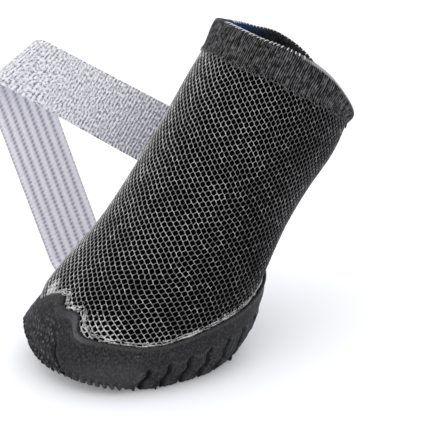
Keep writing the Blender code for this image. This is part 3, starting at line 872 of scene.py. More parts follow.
    def sole_wall(self, angle: Array, z: Array) -> Array:
        """Return the sole's outer wall: superellipses below, which turn into the sock's outline plus the wall.

        Args:
            angle: The columns' angles.
            z: The heights, with the columns as the last axis.

        Returns:
            The points, before any relief.
        """
        table = self.sole_rows
        front, back, half = (np.interp(z, table[:, 0] * MM, table[:, i]) for i in (1, 2, 3))
        forward, left = rounded(angle, self.sole_squareness)
        x = half * self.sole_width / 2 * left
        y = self.swung(x, np.where(forward > 0, front * forward, -back * forward) * self.sole_length, z)
        cloth_x, cloth_y, normal_x, normal_y = self.cloth_level(angle, z)
        reach = self.fit_gap + self.edge_wall
        share = smooth_step(*self.follows_cloth, z)
        x = x + (cloth_x + normal_x * reach - x) * share
        y = y + (cloth_y + normal_y * reach - y) * share
        return np.stack([x, y, z + self.spring(y, z)], -1)

    def edge(self, angle: Array) -> Array:
        """Return the height of the rubber's edge at each angle."""
        return np.interp(signed_degrees(angle), self.edge_rows[:, 0], self.edge_rows[:, 1] * MM)


@dataclass
class Sock:
    """The open net and the dark lining under it."""

    form: BootForm
    lean: float = np.radians(33.5)
    row_step: tuple[float, float] = (0.02 * MM, 1.80 * MM)
    column_step: tuple[float, float] = (1.36 * MM, -0.84 * MM)
    widening: float = 3.5
    straightness: float = 0.75
    seam: float = -160.0
    seam_half_width: float = 1.5 * MM
    hole: float = 0.80
    span: tuple[int, int] = (-95, 125)
    middle_crowns: tuple[float, float] = (0.92, 0.80)
    ring_crown: float = 0.42
    # Columns: crown, distance outside the sock in mm.
    crown_rows: Array = field(default_factory=lambda: np.array([
        (0.0, -0.66), (0.42, -0.20), (0.80, 0.04), (0.92, 0.12), (1.0, 0.15)]))
    lining_depth: float = 0.6 * MM
    wall: float = 1.6 * MM

    def flat_map(self) -> dict[str, Array]:
        """Measure the sock for laying flat cloth on it.

        A row of the cloth is square to the leaning shaft, so its height is the distance along the shaft's direction,
        and the distance round is measured from the front line.

        Returns:
            The rows' heights, the distances round, and for each of both the angle and the height share t.
        """
        share = np.linspace(0, 1, 300)
        angle = np.radians(np.linspace(self.seam, self.seam + 360, 721))
        column = self.form.sock(share[:, None], angle[None, :])
        level = column @ np.array([0.0, np.sin(self.lean), np.cos(self.lean)])
        heights = np.linspace(level.min(), level.max(), 320)
        t = np.stack([np.interp(heights, level[:, c], share) for c in range(len(angle))], 1)
        points = self.form.sock(t, angle[None, :])
        steps = np.linalg.norm(np.diff(points, axis=1), axis=-1)
        around = np.concatenate([np.zeros((len(heights), 1)), np.cumsum(steps, 1)], 1)
        front = int(np.argmin(np.abs(angle)))
        around -= around[:, front:front + 1]
        spread = np.linspace(around.min(), around.max(), 1000)
        angles = np.array([np.interp(spread, row, angle) for row in around])
        shares = np.array([np.interp(row, angle, up) for row, up in zip(angles, t)])
        inside = np.array([(spread >= row[0]) & (spread <= row[-1]) for row in around], float)
        return {"heights": heights, "spread": spread, "angle": angles, "t": shares, "inside": inside}

    def lay(self, tables: dict[str, Array], s: Array, h: Array) -> tuple[Array, Array, Array]:
        """Read the tables of flat_map between their nearest four entries.

        Args:
            tables: What flat_map returns.
            s: The distances round from the front line.
            h: The heights along the shaft.

        Returns:
            The height shares t, the angles, and whether the sock is there.
        """
        heights, spread = tables["heights"], tables["spread"]
        row = np.clip((h - heights[0]) / (heights[1] - heights[0]), 0, len(heights) - 1.001)
        column = np.clip((s - spread[0]) / (spread[1] - spread[0]), 0, len(spread) - 1.001)
        r, c = row.astype(int), column.astype(int)
        fr, fc = row - r, column - c
        found = []
        for key in ("t", "angle", "inside"):
            table = tables[key]
            low = table[r, c] * (1 - fc) + table[r, c + 1] * fc
            high = table[r + 1, c] * (1 - fc) + table[r + 1, c + 1] * fc
            found.append(low * (1 - fr) + high * fr)
        return found[0], found[1], found[2] > 0.5

    def flat(self, u: Array, v: Array) -> Array:
        """Work out places on the flat cloth: the lattice's steps, plus a slow and a quick wander of the threads.

        Args:
            u: The numbers of the rows.
            v: The numbers of the columns.

        Returns:
            The distances round and the heights along the shaft, as the last axis.
        """
        place = u[..., None] * np.array(self.row_step) + v[..., None] * np.array(self.column_step)
        s, h = place[..., 0], place[..., 1]
        slow = np.stack([wander(h * 1.3 + s * 0.4, 37 * MM, 1.0), wander(s * 1.1 - h * 0.3, 33 * MM, 2.0)], -1)
        quick = np.stack([wander(s * 1.1 + h * 1.9, 7 * MM, 4.0), wander(h * 1.6 - s * 1.3, 6 * MM, 5.0)], -1)
        place = place + slow * 0.40 * MM + quick * 0.07 * MM
        place[..., 0] *= 1 + self.widening * (40 * MM - h)
        return place

    def build_net(self, material: bpy.types.Material) -> bpy.types.Object:
        """Build the net: a brick-like lattice of six-sided holes between running threads and short cross threads.

        A cell's border is six knots and the six middles between them, shared with its neighbours, and its hole is
        two rings of six, the lower of which sinks to the lining. A knot lies between the lattice's two thirds and
        a straight thread's place, by the straightness.

        Args:
            material: The threads' finish.

        Returns:
            The net.
        """
        tables = self.flat_map()
        span = np.arange(*self.span)
        i, j = np.meshgrid(span, span, indexing="ij")
        size, k = len(span), self.straightness
        first = np.array([2 / 3 * (1 - k) + 0.5 * k, 1 / 3 * (1 - k) + 0.225 * k])
        second = 1 - first
        knots = [self.flat(i + knot[0], j + knot[1]) for knot in (first, second)]
        centre = self.flat(i + 0.0, j + 0.0)
        steps = [(0, 0, 0), (1, 0, 0), (0, -1, 0), (1, -1, -1), (0, -1, -1), (1, 0, -1)]

        t, angle, there = self.lay(tables, centre[..., 0], centre[..., 1])
        keep = there & (t > 0.004) & (t < 0.99)
        keep &= self.form.sock(t, angle)[..., 2] > self.form.edge(angle) - 4 * MM
        keep[:2, :] = keep[:, :2] = keep[-2:, :] = keep[:, -2:] = False
        a, b = np.argwhere(keep).T

        numbers = np.full((2, size, size), -1)
        flats, crowns, corners, count = [], [], [], 0
        for which, di, dj in steps:
            layer = numbers[which]
            new = layer[a + di, b + dj] < 0
            layer[a[new] + di, b[new] + dj] = count + np.arange(new.sum())
            count += int(new.sum())
            flats.append(knots[which][a[new] + di, b[new] + dj])
            crowns.append(np.full(int(new.sum()), 1.0))
            corners.append(layer[a + di, b + dj])
        corner = np.stack(corners, 1)
        places = np.concatenate(flats)

        ahead = np.roll(corner, -1, axis=1)
        pairs = np.sort(np.stack([corner, ahead], -1).reshape(-1, 2), axis=1)
        edges, middle = np.unique(pairs, axis=0, return_inverse=True)
        middle = count + middle.reshape(corner.shape)
        ends = places[edges]
        running = np.abs((ends[:, 1] - ends[:, 0]) @ np.array(self.column_step)) / np.linalg.norm(self.column_step)
        running = running / np.linalg.norm(ends[:, 1] - ends[:, 0], axis=-1) > 0.7
        flats.append(ends.mean(1))
        crowns.append(np.where(running, *self.middle_crowns))
        run = np.concatenate([np.full(count, 0.5), running.astype(float), np.full(len(keep[keep]) * 12, 0.5)])
        count += len(edges)

        hub = centre[a, b][:, None, :]
        uneven = 1 + 0.07 * wander(a * 1.7 + b * 2.3, 7.0, 3.0)
        ring = hub + (places[corner] - hub) * (self.hole * uneven)[:, None, None]
        for crown in (self.ring_crown, 0.0):
            flats.append(ring.reshape(-1, 2))
            crowns.append(np.full(ring.shape[0] * 6, crown))
        upper = count + np.arange(ring.shape[0] * 6).reshape(-1, 6)
        lower = upper + ring.shape[0] * 6
        upper_next, lower_next = np.roll(upper, -1, axis=1), np.roll(lower, -1, axis=1)
        quads = np.stack([upper, upper_next, lower_next, lower], -1).reshape(-1, 4).tolist()
        sides = [(corner, middle, upper), (middle, upper_next, upper), (middle, ahead, upper_next)]
        faces = quads + [face for side in sides for face in np.stack(side, -1).reshape(-1, 3).tolist()]

        crown = np.concatenate(crowns)
        place = np.concatenate(flats)
        t, angle, _ = self.lay(tables, place[:, 0], place[:, 1])
        lift = np.interp(crown, *self.crown_rows.T) * MM
        points = self.form.over_sock(t, angle, lift)
        low = points[:, 2] - self.form.edge(angle)
        glue = 1 - smooth_step(0.2 * MM, 1.6 * MM, low + 0.5 * MM * wander(angle * 30, 3.1, 1.0))
        # crown is the threads' height and run marks the running threads: the net finish paints the threads' highlight
        # from both.
        numbers = {"crown": crown, "glue": glue, "run": run}
        return make_piece("sock_net", points, faces, material, numbers)

    def build_lining(self, material: bpy.types.Material) -> bpy.types.Object:
        """Build the lining: a closed wall between two offsets of the sock's outside.

        Args:
            material: The lining's finish.

        Returns:
            The lining.
        """
        t = np.linspace(0, 1, 90)
        angle = np.linspace(0, TURN, 200, endpoint=False)
        outer = self.form.over_sock(t[:, None], angle[None, :], -self.lining_depth)
        inner = self.form.over_sock(t[::-1, None], angle[None, :], -self.wall)
        points = np.concatenate([outer, inner])
        share = np.broadcast_to(angle / TURN, points.shape[:2])
        side = np.repeat([0.0, 1.0], len(t))[:, None] + 0 * share
        rows = np.stack([share, np.concatenate([t, t[::-1]])[:, None] + 0 * share, side], -1)
        quads = grid_quads(len(points), len(angle), closed_rows=True)
        return make_piece("sock_lining", points, quads, material, {"round": rows})

    def build_seam(self, material: bpy.types.Material) -> bpy.types.Object:
        """Build the flat seam down the back of the far side: a low padded tape over the net's two edges.

        The tape's height is 1 less the fourth power of the place across, and its edges and crown ripple along it.

        Args:
            material: The tape's finish.

        Returns:
            The seam.
        """
        t = np.linspace(0.02, 0.985, 120)
        across = np.linspace(-1, 1, 9)
        middle = np.radians(self.seam)
        width = self.seam_half_width / SHAFT_RADIUS
        angle = middle + across[None, :] * width * (1 + 0.1 * np.sin(t[:, None] * 260))
        lift = 0.42 * MM * (1 - across**4)[None, :] - 0.12 * MM + 0.05 * MM * np.sin(t[:, None] * 330 + across * 4)
        points = self.form.over_sock(t[:, None] + 0 * angle, angle, lift)
        # The seam's crown paints its middle paler through the net finish: a painted highlight.
        crown = np.broadcast_to(1 - np.abs(across), angle.shape)
        quads = grid_quads(len(t), len(across), closed_columns=False)
        return make_piece("sock_seam", points, quads, material, {"crown": crown})


@dataclass
class Collar:
    """The rib-knit band over the collar, its overlocked lower edge and the whipped rim."""

    form: BootForm
    outer_reach: float = 8.6 * MM
    inner_reach: float = 7.0 * MM
    rear_share: float = 0.38
    narrows: tuple[float, float] = (75, 140)
    thickness: float = 1.0 * MM
    gap: float = 0.3 * MM
    cloth: float = 1.6 * MM
    ribs: int = 216
    per_rib: int = 5
    rib_height: float = 0.24 * MM
    stitches: int = 98
    stitch_radius: float = 0.20 * MM
    loops: int = 118
    per_loop: int = 8
    loop_radius: float = 0.11 * MM

    def reach(self, angle: Array, length: float) -> Array:
        """Return how far down the shaft the band runs: it narrows towards the rear."""
        return length * (1 - (1 - self.rear_share) * smooth_step(*self.narrows, np.abs(signed_degrees(angle))))

    def ragged(self, angle: Array) -> Array:
        """Return how far the outer lower edge wanders down."""
        return 0.55 * MM * wander(angle * SHAFT_RADIUS, 5.5 * MM, 1.0)

    def depth_map(self, angle: Array) -> tuple[Array, Array]:
        """Sum each column's steps down from the rim.

        Args:
            angle: The columns' angles.

        Returns:
            The shares t and, for each column, how far below the rim each lies.
        """
        t = np.linspace(0.55, 1, 200)
        column = self.form.sock(t[:, None], angle[None, :])
        steps = np.linalg.norm(np.diff(column, axis=0), axis=-1)
        length = np.concatenate([np.zeros((1, len(angle))), np.cumsum(steps, 0)])
        return t, length[-1] - length

    def at(self, angle: Array, depth: Array, out: Array | float) -> Array:
        """Work out points near the rim. Above it the sock's side runs straight on.

        Args:
            angle: The columns' angles.
            depth: The depths below the rim, negative above it, with the columns as the last axis.
            out: The distance outside the sock.

        Returns:
            The points.
        """
        t, below = self.depth_map(angle)
        place = np.array([np.interp(-d, -below[:, c], t) for c, d in enumerate(np.moveaxis(depth, -1, 0))])
        place = np.moveaxis(place, 0, -1)
        rim = self.form.sock(1.0, angle)
        rise = unit(rim - self.form.sock(0.985, angle))
        return self.form.over_sock(place, angle, out) + rise * np.clip(-depth, 0, None)[..., None]

    def build_band(self, material: bpy.types.Material) -> bpy.types.Object:
        """Build the band: a U-shaped section round the rim, ribbed by a cosine of the angle.

        The outer lower edge is uneven, and the ribs wander and fade over the rim.

        Args:
            material: The knit's finish.

        Returns:
            The band.
        """
        columns = self.ribs * self.per_rib
        angle = np.linspace(0, TURN, columns, endpoint=False)
        outside, inside = self.reach(angle, self.outer_reach), self.reach(angle, self.inner_reach)
        outside = outside + self.ragged(angle) + 0.25 * MM * wander(angle * SHAFT_RADIUS, 1.6 * MM, 2.0)
        outer, inner, thick = 0.0, -self.cloth - self.gap, self.thickness
        middle = -self.cloth / 2
        half = (self.gap - inner) / 2 + thick
        shares = np.linspace(1, 0, 14)
        depth = [outside * s for s in shares]
        thin = [smooth_step(0.1, 1.0, np.asarray(s)) for s in shares]
        out = [np.full(columns, (self.gap + thick) * (1 - w) + 0.30 * MM * w) for w in thin]
        arc = np.linspace(0, np.pi, 9)[1:-1]
        depth += [np.full(columns, -(thick + self.gap) * np.sin(a)) for a in arc]
        out += [np.full(columns, middle + half * np.cos(a)) for a in arc]
        depth += [inside * s for s in shares[::-1]]
        out += [np.full(columns, inner - thick) for _ in shares]
        depth += [inside, outside]
        out += [np.full(columns, inner), np.full(columns, outer)]
        depth_grid, out_grid = np.array(depth), np.array(out)
        rows = len(depth_grid)
        row = np.arange(rows)[:, None]
        swerve = 0.35 * wander(row * 0.9 + np.sin(angle * 9)[None, :] * 3, 17.0, 2.0)
        rib = 0.5 + 0.5 * np.cos(self.ribs * angle[None, :] + TURN * 0.5 * swerve)
        knots = 0.5 + 0.5 * wander(row * 1.0 + (np.floor(angle * self.ribs / TURN) * 5.7)[None, :] % 29, 4.3, 1.0)
        skin = row < rows - 2
        relief = np.where(skin, self.rib_height * (rib - 0.7) * (0.75 + 0.5 * knots), 0.0)
        side = np.where(out_grid > middle, 1.0, -1.0)
        out_grid = out_grid + relief * side
        points = self.at(angle, depth_grid, out_grid)
        along = np.broadcast_to(angle * SHAFT_RADIUS, depth_grid.shape)
        # within marks the inner face, which the knit finish darkens as painted shade and tints at the front with a
        # painted bluish reflection; the ribs' height in crown gives their painted highlight.
        within = smooth_step(-0.2, 0.4, (middle - out_grid) / half)
        apex = bump_profile(row - 14.6, 1.7) * smooth_step(60, 85, np.degrees(angle)) * (angle < np.radians(185))
        numbers = {"knit": np.stack([along, depth_grid, within], -1), "crown": np.where(skin, rib + 2 * apex, 0.0)}
        return make_piece("collar_knit", points, grid_quads(rows, columns, closed_rows=True), material, numbers)

    def build_whipping(self, material: bpy.types.Material) -> bpy.types.Object:
        """Build the pale stitches over the rim: short slanted tubes along an arc from outside to inside.

        Args:
            material: The thread's finish.

        Returns:
            The stitches.
        """
        number = np.arange(self.stitches) * 1.0
        base = TURN * (number + 0.2 * wander(number, 3.7, 1.0)) / self.stitches
        degrees = np.degrees(base)
        base = base[(degrees < 72) | (degrees > 168) & (degrees < 296) | (degrees > 352)]
        turn = np.linspace(-0.85, 0.85, 9)
        lean = np.radians(1.1)
        angle = base[:, None] + lean * (turn / 2)[None, :]
        top = self.thickness + self.gap
        half = (2 * self.gap + self.cloth) / 2 + self.thickness
        depth = 0.15 * MM - (top + 0.16 * MM) * np.cos(turn - 0.25)[None, :] + 0 * angle
        out = -self.cloth / 2 + (half + 0.10 * MM) * np.cos(np.pi / 2 - np.clip(turn - 0.25, -1.5, 1.5))[None, :] * -1
        out = out + 0 * angle
        points = np.stack([self.at(angle[:, k], depth[:, k], out[:, k]) for k in range(len(turn))], 1)
        loose = 0.85 + 0.3 * wander(base * 40, 5.1, 2.0)
        verts, quads = tubes(points, self.stitch_radius * loose[:, None], 5)
        return make_piece("rim_stitches", verts, quads, material)

    def build_overlock(self, material: bpy.types.Material) -> bpy.types.Object:
        """Build the overlocking of the lower edge: a zigzag of looped thread, with each loop's size uneven.

        Round one loop the depth goes as the cosine of the phase, and the place along the edge as its sine.

        Args:
            material: The thread's finish.

        Returns:
            The overlocking.
        """
        k = np.arange(self.loops * self.per_loop)
        angle = TURN * k / len(k)
        phase = TURN * k / self.per_loop
        size = 0.7 + 0.5 * wander(k * 1.0, 61.0, 1.0) + 0.3 * wander(k * 1.0, 17.0, 2.0)
        sweep = 0.30 * np.sin(phase) * TURN / self.loops
        base = self.reach(angle, self.outer_reach)
        depth = base + self.ragged(angle) + 0.30 * MM + 0.75 * MM * size * np.cos(phase)
        out = 0.34 * MM + 0.14 * MM * np.cos(phase + 0.8)
        points = self.at(angle + sweep, depth, out)
        closed = np.concatenate([points, points[:1]])[None]
        verts, quads = tubes(closed, self.loop_radius, 5)
        return make_piece("overlock", verts, quads, material)


@dataclass
class CupSole:
    """The moulded cup: its wall with the toe strip, knobs and lugs, the rim, the tread and the cement bead.

    The columns are crowded towards the toe: an angle loses its sine times the crowding.
    """

    form: BootForm
    columns: int = 760
    crowding: float = 0.42
    tread: float = 5 * MM
    edge_round: float = 0.6 * MM
    rim_wall: float = 1.25 * MM
    slot_first: float = -16.3 * MM
    slot_pitch: float = 6.25 * MM
    slot_count: int = 7
    slot_width: float = 1.4 * MM
    slot_depth: float = 2.0 * MM
    side_depth: float = 1.0 * MM
    side_top: float = 11.7 * MM
    side_rise: float = 0.13
    slot_lean: float = 0.25
    knob_pitch: float = 2.0 * MM
    knob_height: float = 1.3 * MM
    knob_reach: float = 0.85 * MM
    bead_height: float = 0.70 * MM
    pillow_height: float = 0.25 * MM
    groove_depth: float = 0.8 * MM
    # In degrees; the tops are of the left and the right groove.
    groove_half_width: float = 1.4
    groove_tops: tuple[float, float] = (15.5 * MM, 11.0 * MM)
    lug_height: float = 0.30 * MM
    short_depth: float = 0.35 * MM
    cross_depth: float = 0.25 * MM
    bulge_height: float = 0.30 * MM
    line_height: float = 0.12 * MM
    # The cement's strands: seed, rise over the rubber's edge, radius.
    strands: tuple[tuple[float, float, float], ...] = ((1.0, 0.0, 0.34 * MM), (4.0, 0.75 * MM, 0.17 * MM))
    # Columns: height in mm, angle of the toe strip's groove in degrees.
    groove_rows: Array = field(default_factory=lambda: np.array([
        (3.0, 29.0), (4.6, 26.8), (6.6, 23.5), (8.8, 21.5), (11.8, 19.5), (14.4, 17.8), (16.4, 17.5), (19.0, 19.2),
        (22.0, 24.0),
    ]))

    def slot_share(self, y: Array, z: Array) -> Array:
        """Work out where the slots are, from the distance to the nearest leaning, slightly wavy slot line.

        Args:
            y: The places along the boot.
            z: The heights.

        Returns:
            1 in a slot and 0 on a bar.
        """
        line = y - self.slot_lean * z - 0.35 * MM * np.sin(TURN * z / (5.2 * MM))
        number = np.clip(np.round((line - self.slot_first) / self.slot_pitch), 0, self.slot_count - 1)
        distance = np.abs(line - self.slot_first - number * self.slot_pitch)
        return 1 - smooth_step(self.slot_width * 0.30, self.slot_width * 0.62, distance)

    def knobs(self, angle: Array) -> tuple[Array, Array, Array]:
        """Place the small knobs of the toe's lower edge.

        They stand at even steps along the wall's foot, whose length is summed from column to column, and each rises
        as a cosine.

        Args:
            angle: The columns' angles.

        Returns:
            For each column 1 on a knob and 0 between, the share in which it belongs to the toe, and its length along
            the foot from the toe's middle.
        """
        foot = self.form.sole_wall(angle, np.zeros_like(angle))
        along = np.cumsum(np.linalg.norm(np.diff(foot[:, :2], axis=0, prepend=foot[:1, :2]), axis=-1))
        along = along - np.interp(0.0, angle, along)
        zone = smooth_step(0, 4 * MM, -17.5 * MM - foot[:, 1])
        return np.clip(0.68 + 0.95 * np.cos(TURN * along / self.knob_pitch), 0, 1) * zone, zone, along

    def toe_relief(self, angle: Array, points: Array) -> tuple[Array, Array, Array, Array]:
        """Work out the toe's relief.

        The strip is parted from the sides by a groove, a narrow squared cosine round a line whose angle changes with
        height, with a low pillow beside it. Beads in slanting rows lie along a band that rises to the right, and the
        knobs stand at the foot.

        Args:
            angle: The columns' angles.
            points: The wall's points, with the columns as the last axis but one.

        Returns:
            How far each point moves outwards, and the shares of the groove, the strip and the knobs.
        """
        y, z = points[..., 1], points[..., 2]
        ground = z - self.form.spring(y, 0 * z)
        degrees = np.abs(signed_degrees(angle)) + 0 * z
        line = np.interp(z / MM, self.groove_rows[:, 0], self.groove_rows[:, 1])
        groove_top = np.where(angle > 0, *self.groove_tops)
        groove = bump_profile(degrees - line, self.groove_half_width) * smooth_step(0, 3.0 * MM, groove_top - z)
        strip = 1 - smooth_step(-0.6, 0.4, degrees - line)
        strip = strip * (1 - 0.75 * smooth_step(18 * MM, 21 * MM, z))
        pillow = bump_profile(degrees - line - 3.2, 3.4) * smooth_step(0, 4 * MM, 16 * MM - z)
        knobs, toe, along = self.knobs(angle)
        knobs = knobs * (1 - smooth_step(1.6 * MM, 3.4 * MM, ground))
        across = 0.94 * along - 0.34 * ground
        beads = np.clip(0.5 + 0.75 * np.cos(TURN * across / self.knob_pitch), 0, 1)
        beads = beads * bump_profile(ground - np.clip(3.6 * MM - 0.36 * along, 0, 11 * MM), 3.8 * MM)
        beads = beads * toe * smooth_step(0, 4 * MM, along + 26 * MM) * smooth_step(0, 3 * MM, 14 * MM - z)
        out = (self.pillow_height * pillow + self.bead_height * beads + self.knob_reach * knobs
               - self.groove_depth * groove)
        return out, groove, strip, knobs

    def side_relief(self, angle: Array, points: Array) -> tuple[Array, Array, Array]:
        """Work out the sides' relief.

        The lugs stand proud below a rising, scalloped line and are parted by the slots, with short cuts between the
        slots and crossing them. A bulge lies behind the toe's strip, a parting line runs near the ground, and one
        soft ridge runs down from the tab's rear end.

        Args:
            angle: The columns' angles.
            points: The wall's points, with the columns as the last axis but one.

        Returns:
            How far each point moves outwards, how pale its edges are painted (abrasion and a painted highlight) and
            how much painted shade it gets.
        """
        y, z = points[..., 1], points[..., 2]
        ground = z - self.form.spring(y, 0 * z)
        degrees = np.abs(signed_degrees(angle)) + 0 * z
        ends = smooth_step(-18.5 * MM, -15 * MM, y) * smooth_step(0, 3 * MM, 31 * MM - y)
        top = self.side_top + self.side_rise * y
        turns = (y - self.slot_lean * z - self.slot_first) / self.slot_pitch
        scallop = top - 0.9 * MM + 0.6 * MM * np.cos(TURN * turns)
        below = smooth_step(0, 1.3 * MM, scallop - z) * ends
        slots = self.slot_share(y, z) * ends * smooth_step(0, 2.6 * MM, top - z)
        short = self.from_line(y - 0.75 * z, 0.5)
        short = (1 - smooth_step(0.25 * MM, 0.75 * MM, short)) * bump_profile(z - 3.6 * MM, 3.2 * MM) * ends
        cross = self.from_line(y + 0.9 * z, 0.25)
        cross = (1 - smooth_step(0.15 * MM, 0.6 * MM, cross)) * bump_profile(z - 4.6 * MM, 2.6 * MM) * ends
        ripple = 0.10 * MM * np.cos(TURN * (y - self.slot_lean * z) / (1.9 * MM)) * below
        uneven = wander(y + 0.4 * z, 2.9 * MM, 1.0) * wander(z - 0.3 * y, 4.3 * MM, 2.0)
        ripple = ripple + 0.16 * MM * uneven * below
        lugs = (self.lug_height * below + ripple) * (1 - slots)
        bulge = smooth_step(0, 1.6 * MM, -16.6 * MM - y + 0.25 * z) * bump_profile(z - 7 * MM, 7 * MM)
        bulge = self.bulge_height * bulge * bump_profile(y + 24 * MM, 12 * MM)
        parting = bump_profile(ground - 2.1 * MM, 0.7 * MM) * ends
        ridge = bump_profile(degrees - 25 - (19 * MM - z) / MM * 2.4, 2.2) * bump_profile(z - 17.4 * MM, 3.0 * MM)
        ridge = ridge * (angle > 0)
        out = (lugs - self.side_depth * slots - self.short_depth * short - self.cross_depth * cross + bulge
               + self.line_height * (parting + ridge))
        # The edges of slots, lugs, parting line, ridge and bulge are painted pale, partly abrasion and partly a
        # painted highlight; the slots and cuts get painted shade.
        full_bulge = 1.5 * self.bulge_height
        wear_and_highlight = (0.30 * 4 * slots * (1 - slots) + 0.30 * 4 * below * (1 - below) + 0.3 * parting + 0.35 * ridge
                  + 0.30 * 4 * bulge / full_bulge * (1 - bulge / full_bulge))
        return out, wear_and_highlight, 1.1 * slots + 0.6 * short + 0.5 * cross

    def from_line(self, place: Array, offset: float) -> Array:
        """Return the distance from the nearest of the lines that stand a share of a pitch past the slots' lines."""
        place = place - self.slot_first - offset * self.slot_pitch
        return np.abs(place - np.round(place / self.slot_pitch) * self.slot_pitch)

    def relief(self, angle: Array, points: Array) -> tuple[Array, Array, Array]:
        """Add the toe's and the sides' relief, over a slow unevenness of the whole wall.

        Args:
            angle: The columns' angles.
            points: The wall's points, with the columns as the last axis but one.

        Returns:
            How far each point moves outwards, how pale it is painted (abrasion and a painted highlight) less its
            painted shade, and how much it belongs to the toe's strip.
        """
        toe_out, groove, strip, knobs = self.toe_relief(angle, points)
        side_out, wear_and_highlight, shade = self.side_relief(angle, points)
        degrees = np.abs(signed_degrees(angle))
        uneven = 0.06 * MM * wander(degrees * 0.6 * MM + points[..., 2] * 0.7, 13 * MM, 2.0)
        # The groove adds painted shade, and the knobs a pale edge of abrasion and painted highlight.
        shade = np.clip(shade + 1.5 * groove, 0, 1)
        wear_and_highlight = np.clip(wear_and_highlight + 0.25 * knobs, 0, 1)
        return toe_out + side_out + uneven, wear_and_highlight * (1 - shade) - shade, strip

    def build_cup(self, material: bpy.types.Material) -> bpy.types.Object:
        """Build the cup as rows of one grid: from the tread's middle line out, up the wall, over the rim and down to
        the floor inside.

        On the tread a row is the wall's foot with its x scaled towards the middle line, so that its lines run
        straight across and the slots are cut along them. The wall's rows are even shares of its height, and its
        relief moves them along level normals. The rim is an arc that thins away from the tab, and its rounded edge is
        painted pale as a highlight, most of all behind the tab.

        Args:
            material: The rubber.

        Returns:
            The cup.
        """
        angle = (np.arange(self.columns) + 0.5) * TURN / self.columns - np.pi
        angle = angle - self.crowding * np.sin(angle)
        edge = self.form.edge(angle)
        foot = self.form.sole_wall(angle, np.zeros_like(angle))
        knobs, toe, _ = self.knobs(angle)
        edge_cut = (toe - knobs) * self.knob_height
        start = np.maximum(self.slot_share(foot[:, 1], 0 * foot[:, 1]) * self.slot_depth, edge_cut)
        waist, shoulder = self.form.follows_cloth[0], edge - self.edge_round
        lower = np.linspace(0, 1, 30)[:-1, None]
        upper = np.linspace(0, 1, 18)[:, None]
        z = np.concatenate([start + (waist - start) * lower, waist + (shoulder - waist) * upper])
        wall = self.form.sole_wall(angle, z)
        move, wear_and_highlight, strip = self.relief(angle, wall)
        even = self.form.sole_wall(angle, np.concatenate([
            waist * lower + 0 * angle, waist + (shoulder - waist) * upper]))
        side = np.roll(even, -1, axis=1) - np.roll(even, 1, axis=1)
        outward = np.stack([side[..., 1], -side[..., 0]], -1)
        outward /= np.linalg.norm(outward, axis=-1, keepdims=True)
        near_edge = smooth_step(-5 * MM, 0, z - shoulder)
        degrees = signed_degrees(angle)
        keeps = smooth_step(-38, -18, degrees) * (1 - smooth_step(31, 45, degrees))
        rim = self.rim_wall + (self.form.edge_wall - self.rim_wall) * keeps
        move = move * (1 - 0.8 * near_edge) - (self.form.edge_wall - rim) * near_edge
        wall[..., :2] += outward * move[..., None]
        foot = wall[0]
        centre_y = (foot[:, 1] + foot[::-1, 1]) / 2
        tread = []
        for share in np.concatenate([[0.0], np.linspace(0.05, 1, 38)[:-1]]):
            x = foot[:, 0] * share
            y = centre_y + (foot[:, 1] - centre_y) * share
            inner = 1 - smooth_step(0.88, 0.95, np.asarray(share))
            cut = np.maximum(self.slot_share(y, 0 * y) * self.slot_depth,
                             edge_cut * (1 - inner) + toe * self.knob_height * inner)
            tread.append(np.stack([x, y, cut + self.form.spring(y, 0 * y)], -1))
        over = [self.form.cup(angle, edge - self.edge_round * (1 - np.sin(a)),
                              self.form.fit_gap + rim * (0.5 + 0.5 * np.cos(a)))
                for a in np.linspace(0.35, np.pi * 0.9, 6)]
        inner = [self.form.cup(angle, self.tread + (shoulder - self.tread) * share, self.form.fit_gap)
                 for share in (1.0, 0.75, 0.5, 0.25, 0.1)]
        floor = self.form.cup(angle, self.tread + 0.5 * MM, self.form.fit_gap)
        floors = [floor * (share, share, 1) - (0, 0, 0.5 * MM) for share in (1.0, 0.6, 0.25, 0.0)]
        points = np.array(tread + list(wall) + over + inner + floors)
        first, last = len(tread), len(tread) + len(wall)
        # crown carries the wall's pale painted edges less its painted shade, for the rubber finish.
        crown, belongs = np.zeros(points.shape[:2]), np.zeros(points.shape[:2])
        crown[first:last], belongs[first:last] = wear_and_highlight, strip
        # The rim's rounded edge is painted pale as a highlight, strongest behind the tab.
        crown[last - 2:last + 2] = 0.25 + 0.75 * bump_profile(degrees - 29, 16)
        numbers = {"crown": crown, "strip": belongs}
        return make_piece("rubber_cup", points, grid_quads(len(points), self.columns), material, numbers, 1e-6)

    def build_cement(self, material: bpy.types.Material) -> bpy.types.Object:
        """Build the bead of cement between the rubber's edge and the net: two uneven strands, one thinner.

        Args:
            material: The cement's finish.

        Returns:
            The bead.
        """
        angle = np.linspace(0, TURN, 1400, endpoint=False)
        along = angle * SOLE_RADIUS
        strands = []
        for seed, rise, size in self.strands:
            beside = bump_profile(np.degrees(angle) - 31, 15) * 1.1 * MM
            height = self.form.edge(angle) + rise + beside + 0.16 * MM * wander(along, 7 * MM, seed)
            path = self.form.cup(angle, height, 0.22 * MM)
            uneven = 0.55 * wander(along, 11 * MM, seed + 1) + 0.25 * wander(along, 2.1 * MM, seed + 2)
            thick = size * (0.72 + uneven)
            strands.append((np.concatenate([path, path[:1]]), np.concatenate([thick, thick[:1]])))
        paths = np.array([strand[0] for strand in strands])
        verts, quads = tubes(paths, np.clip(np.array([strand[1] for strand in strands]), 0.03 * MM, None), 6)
        return make_piece("cement_bead", verts, quads, material)


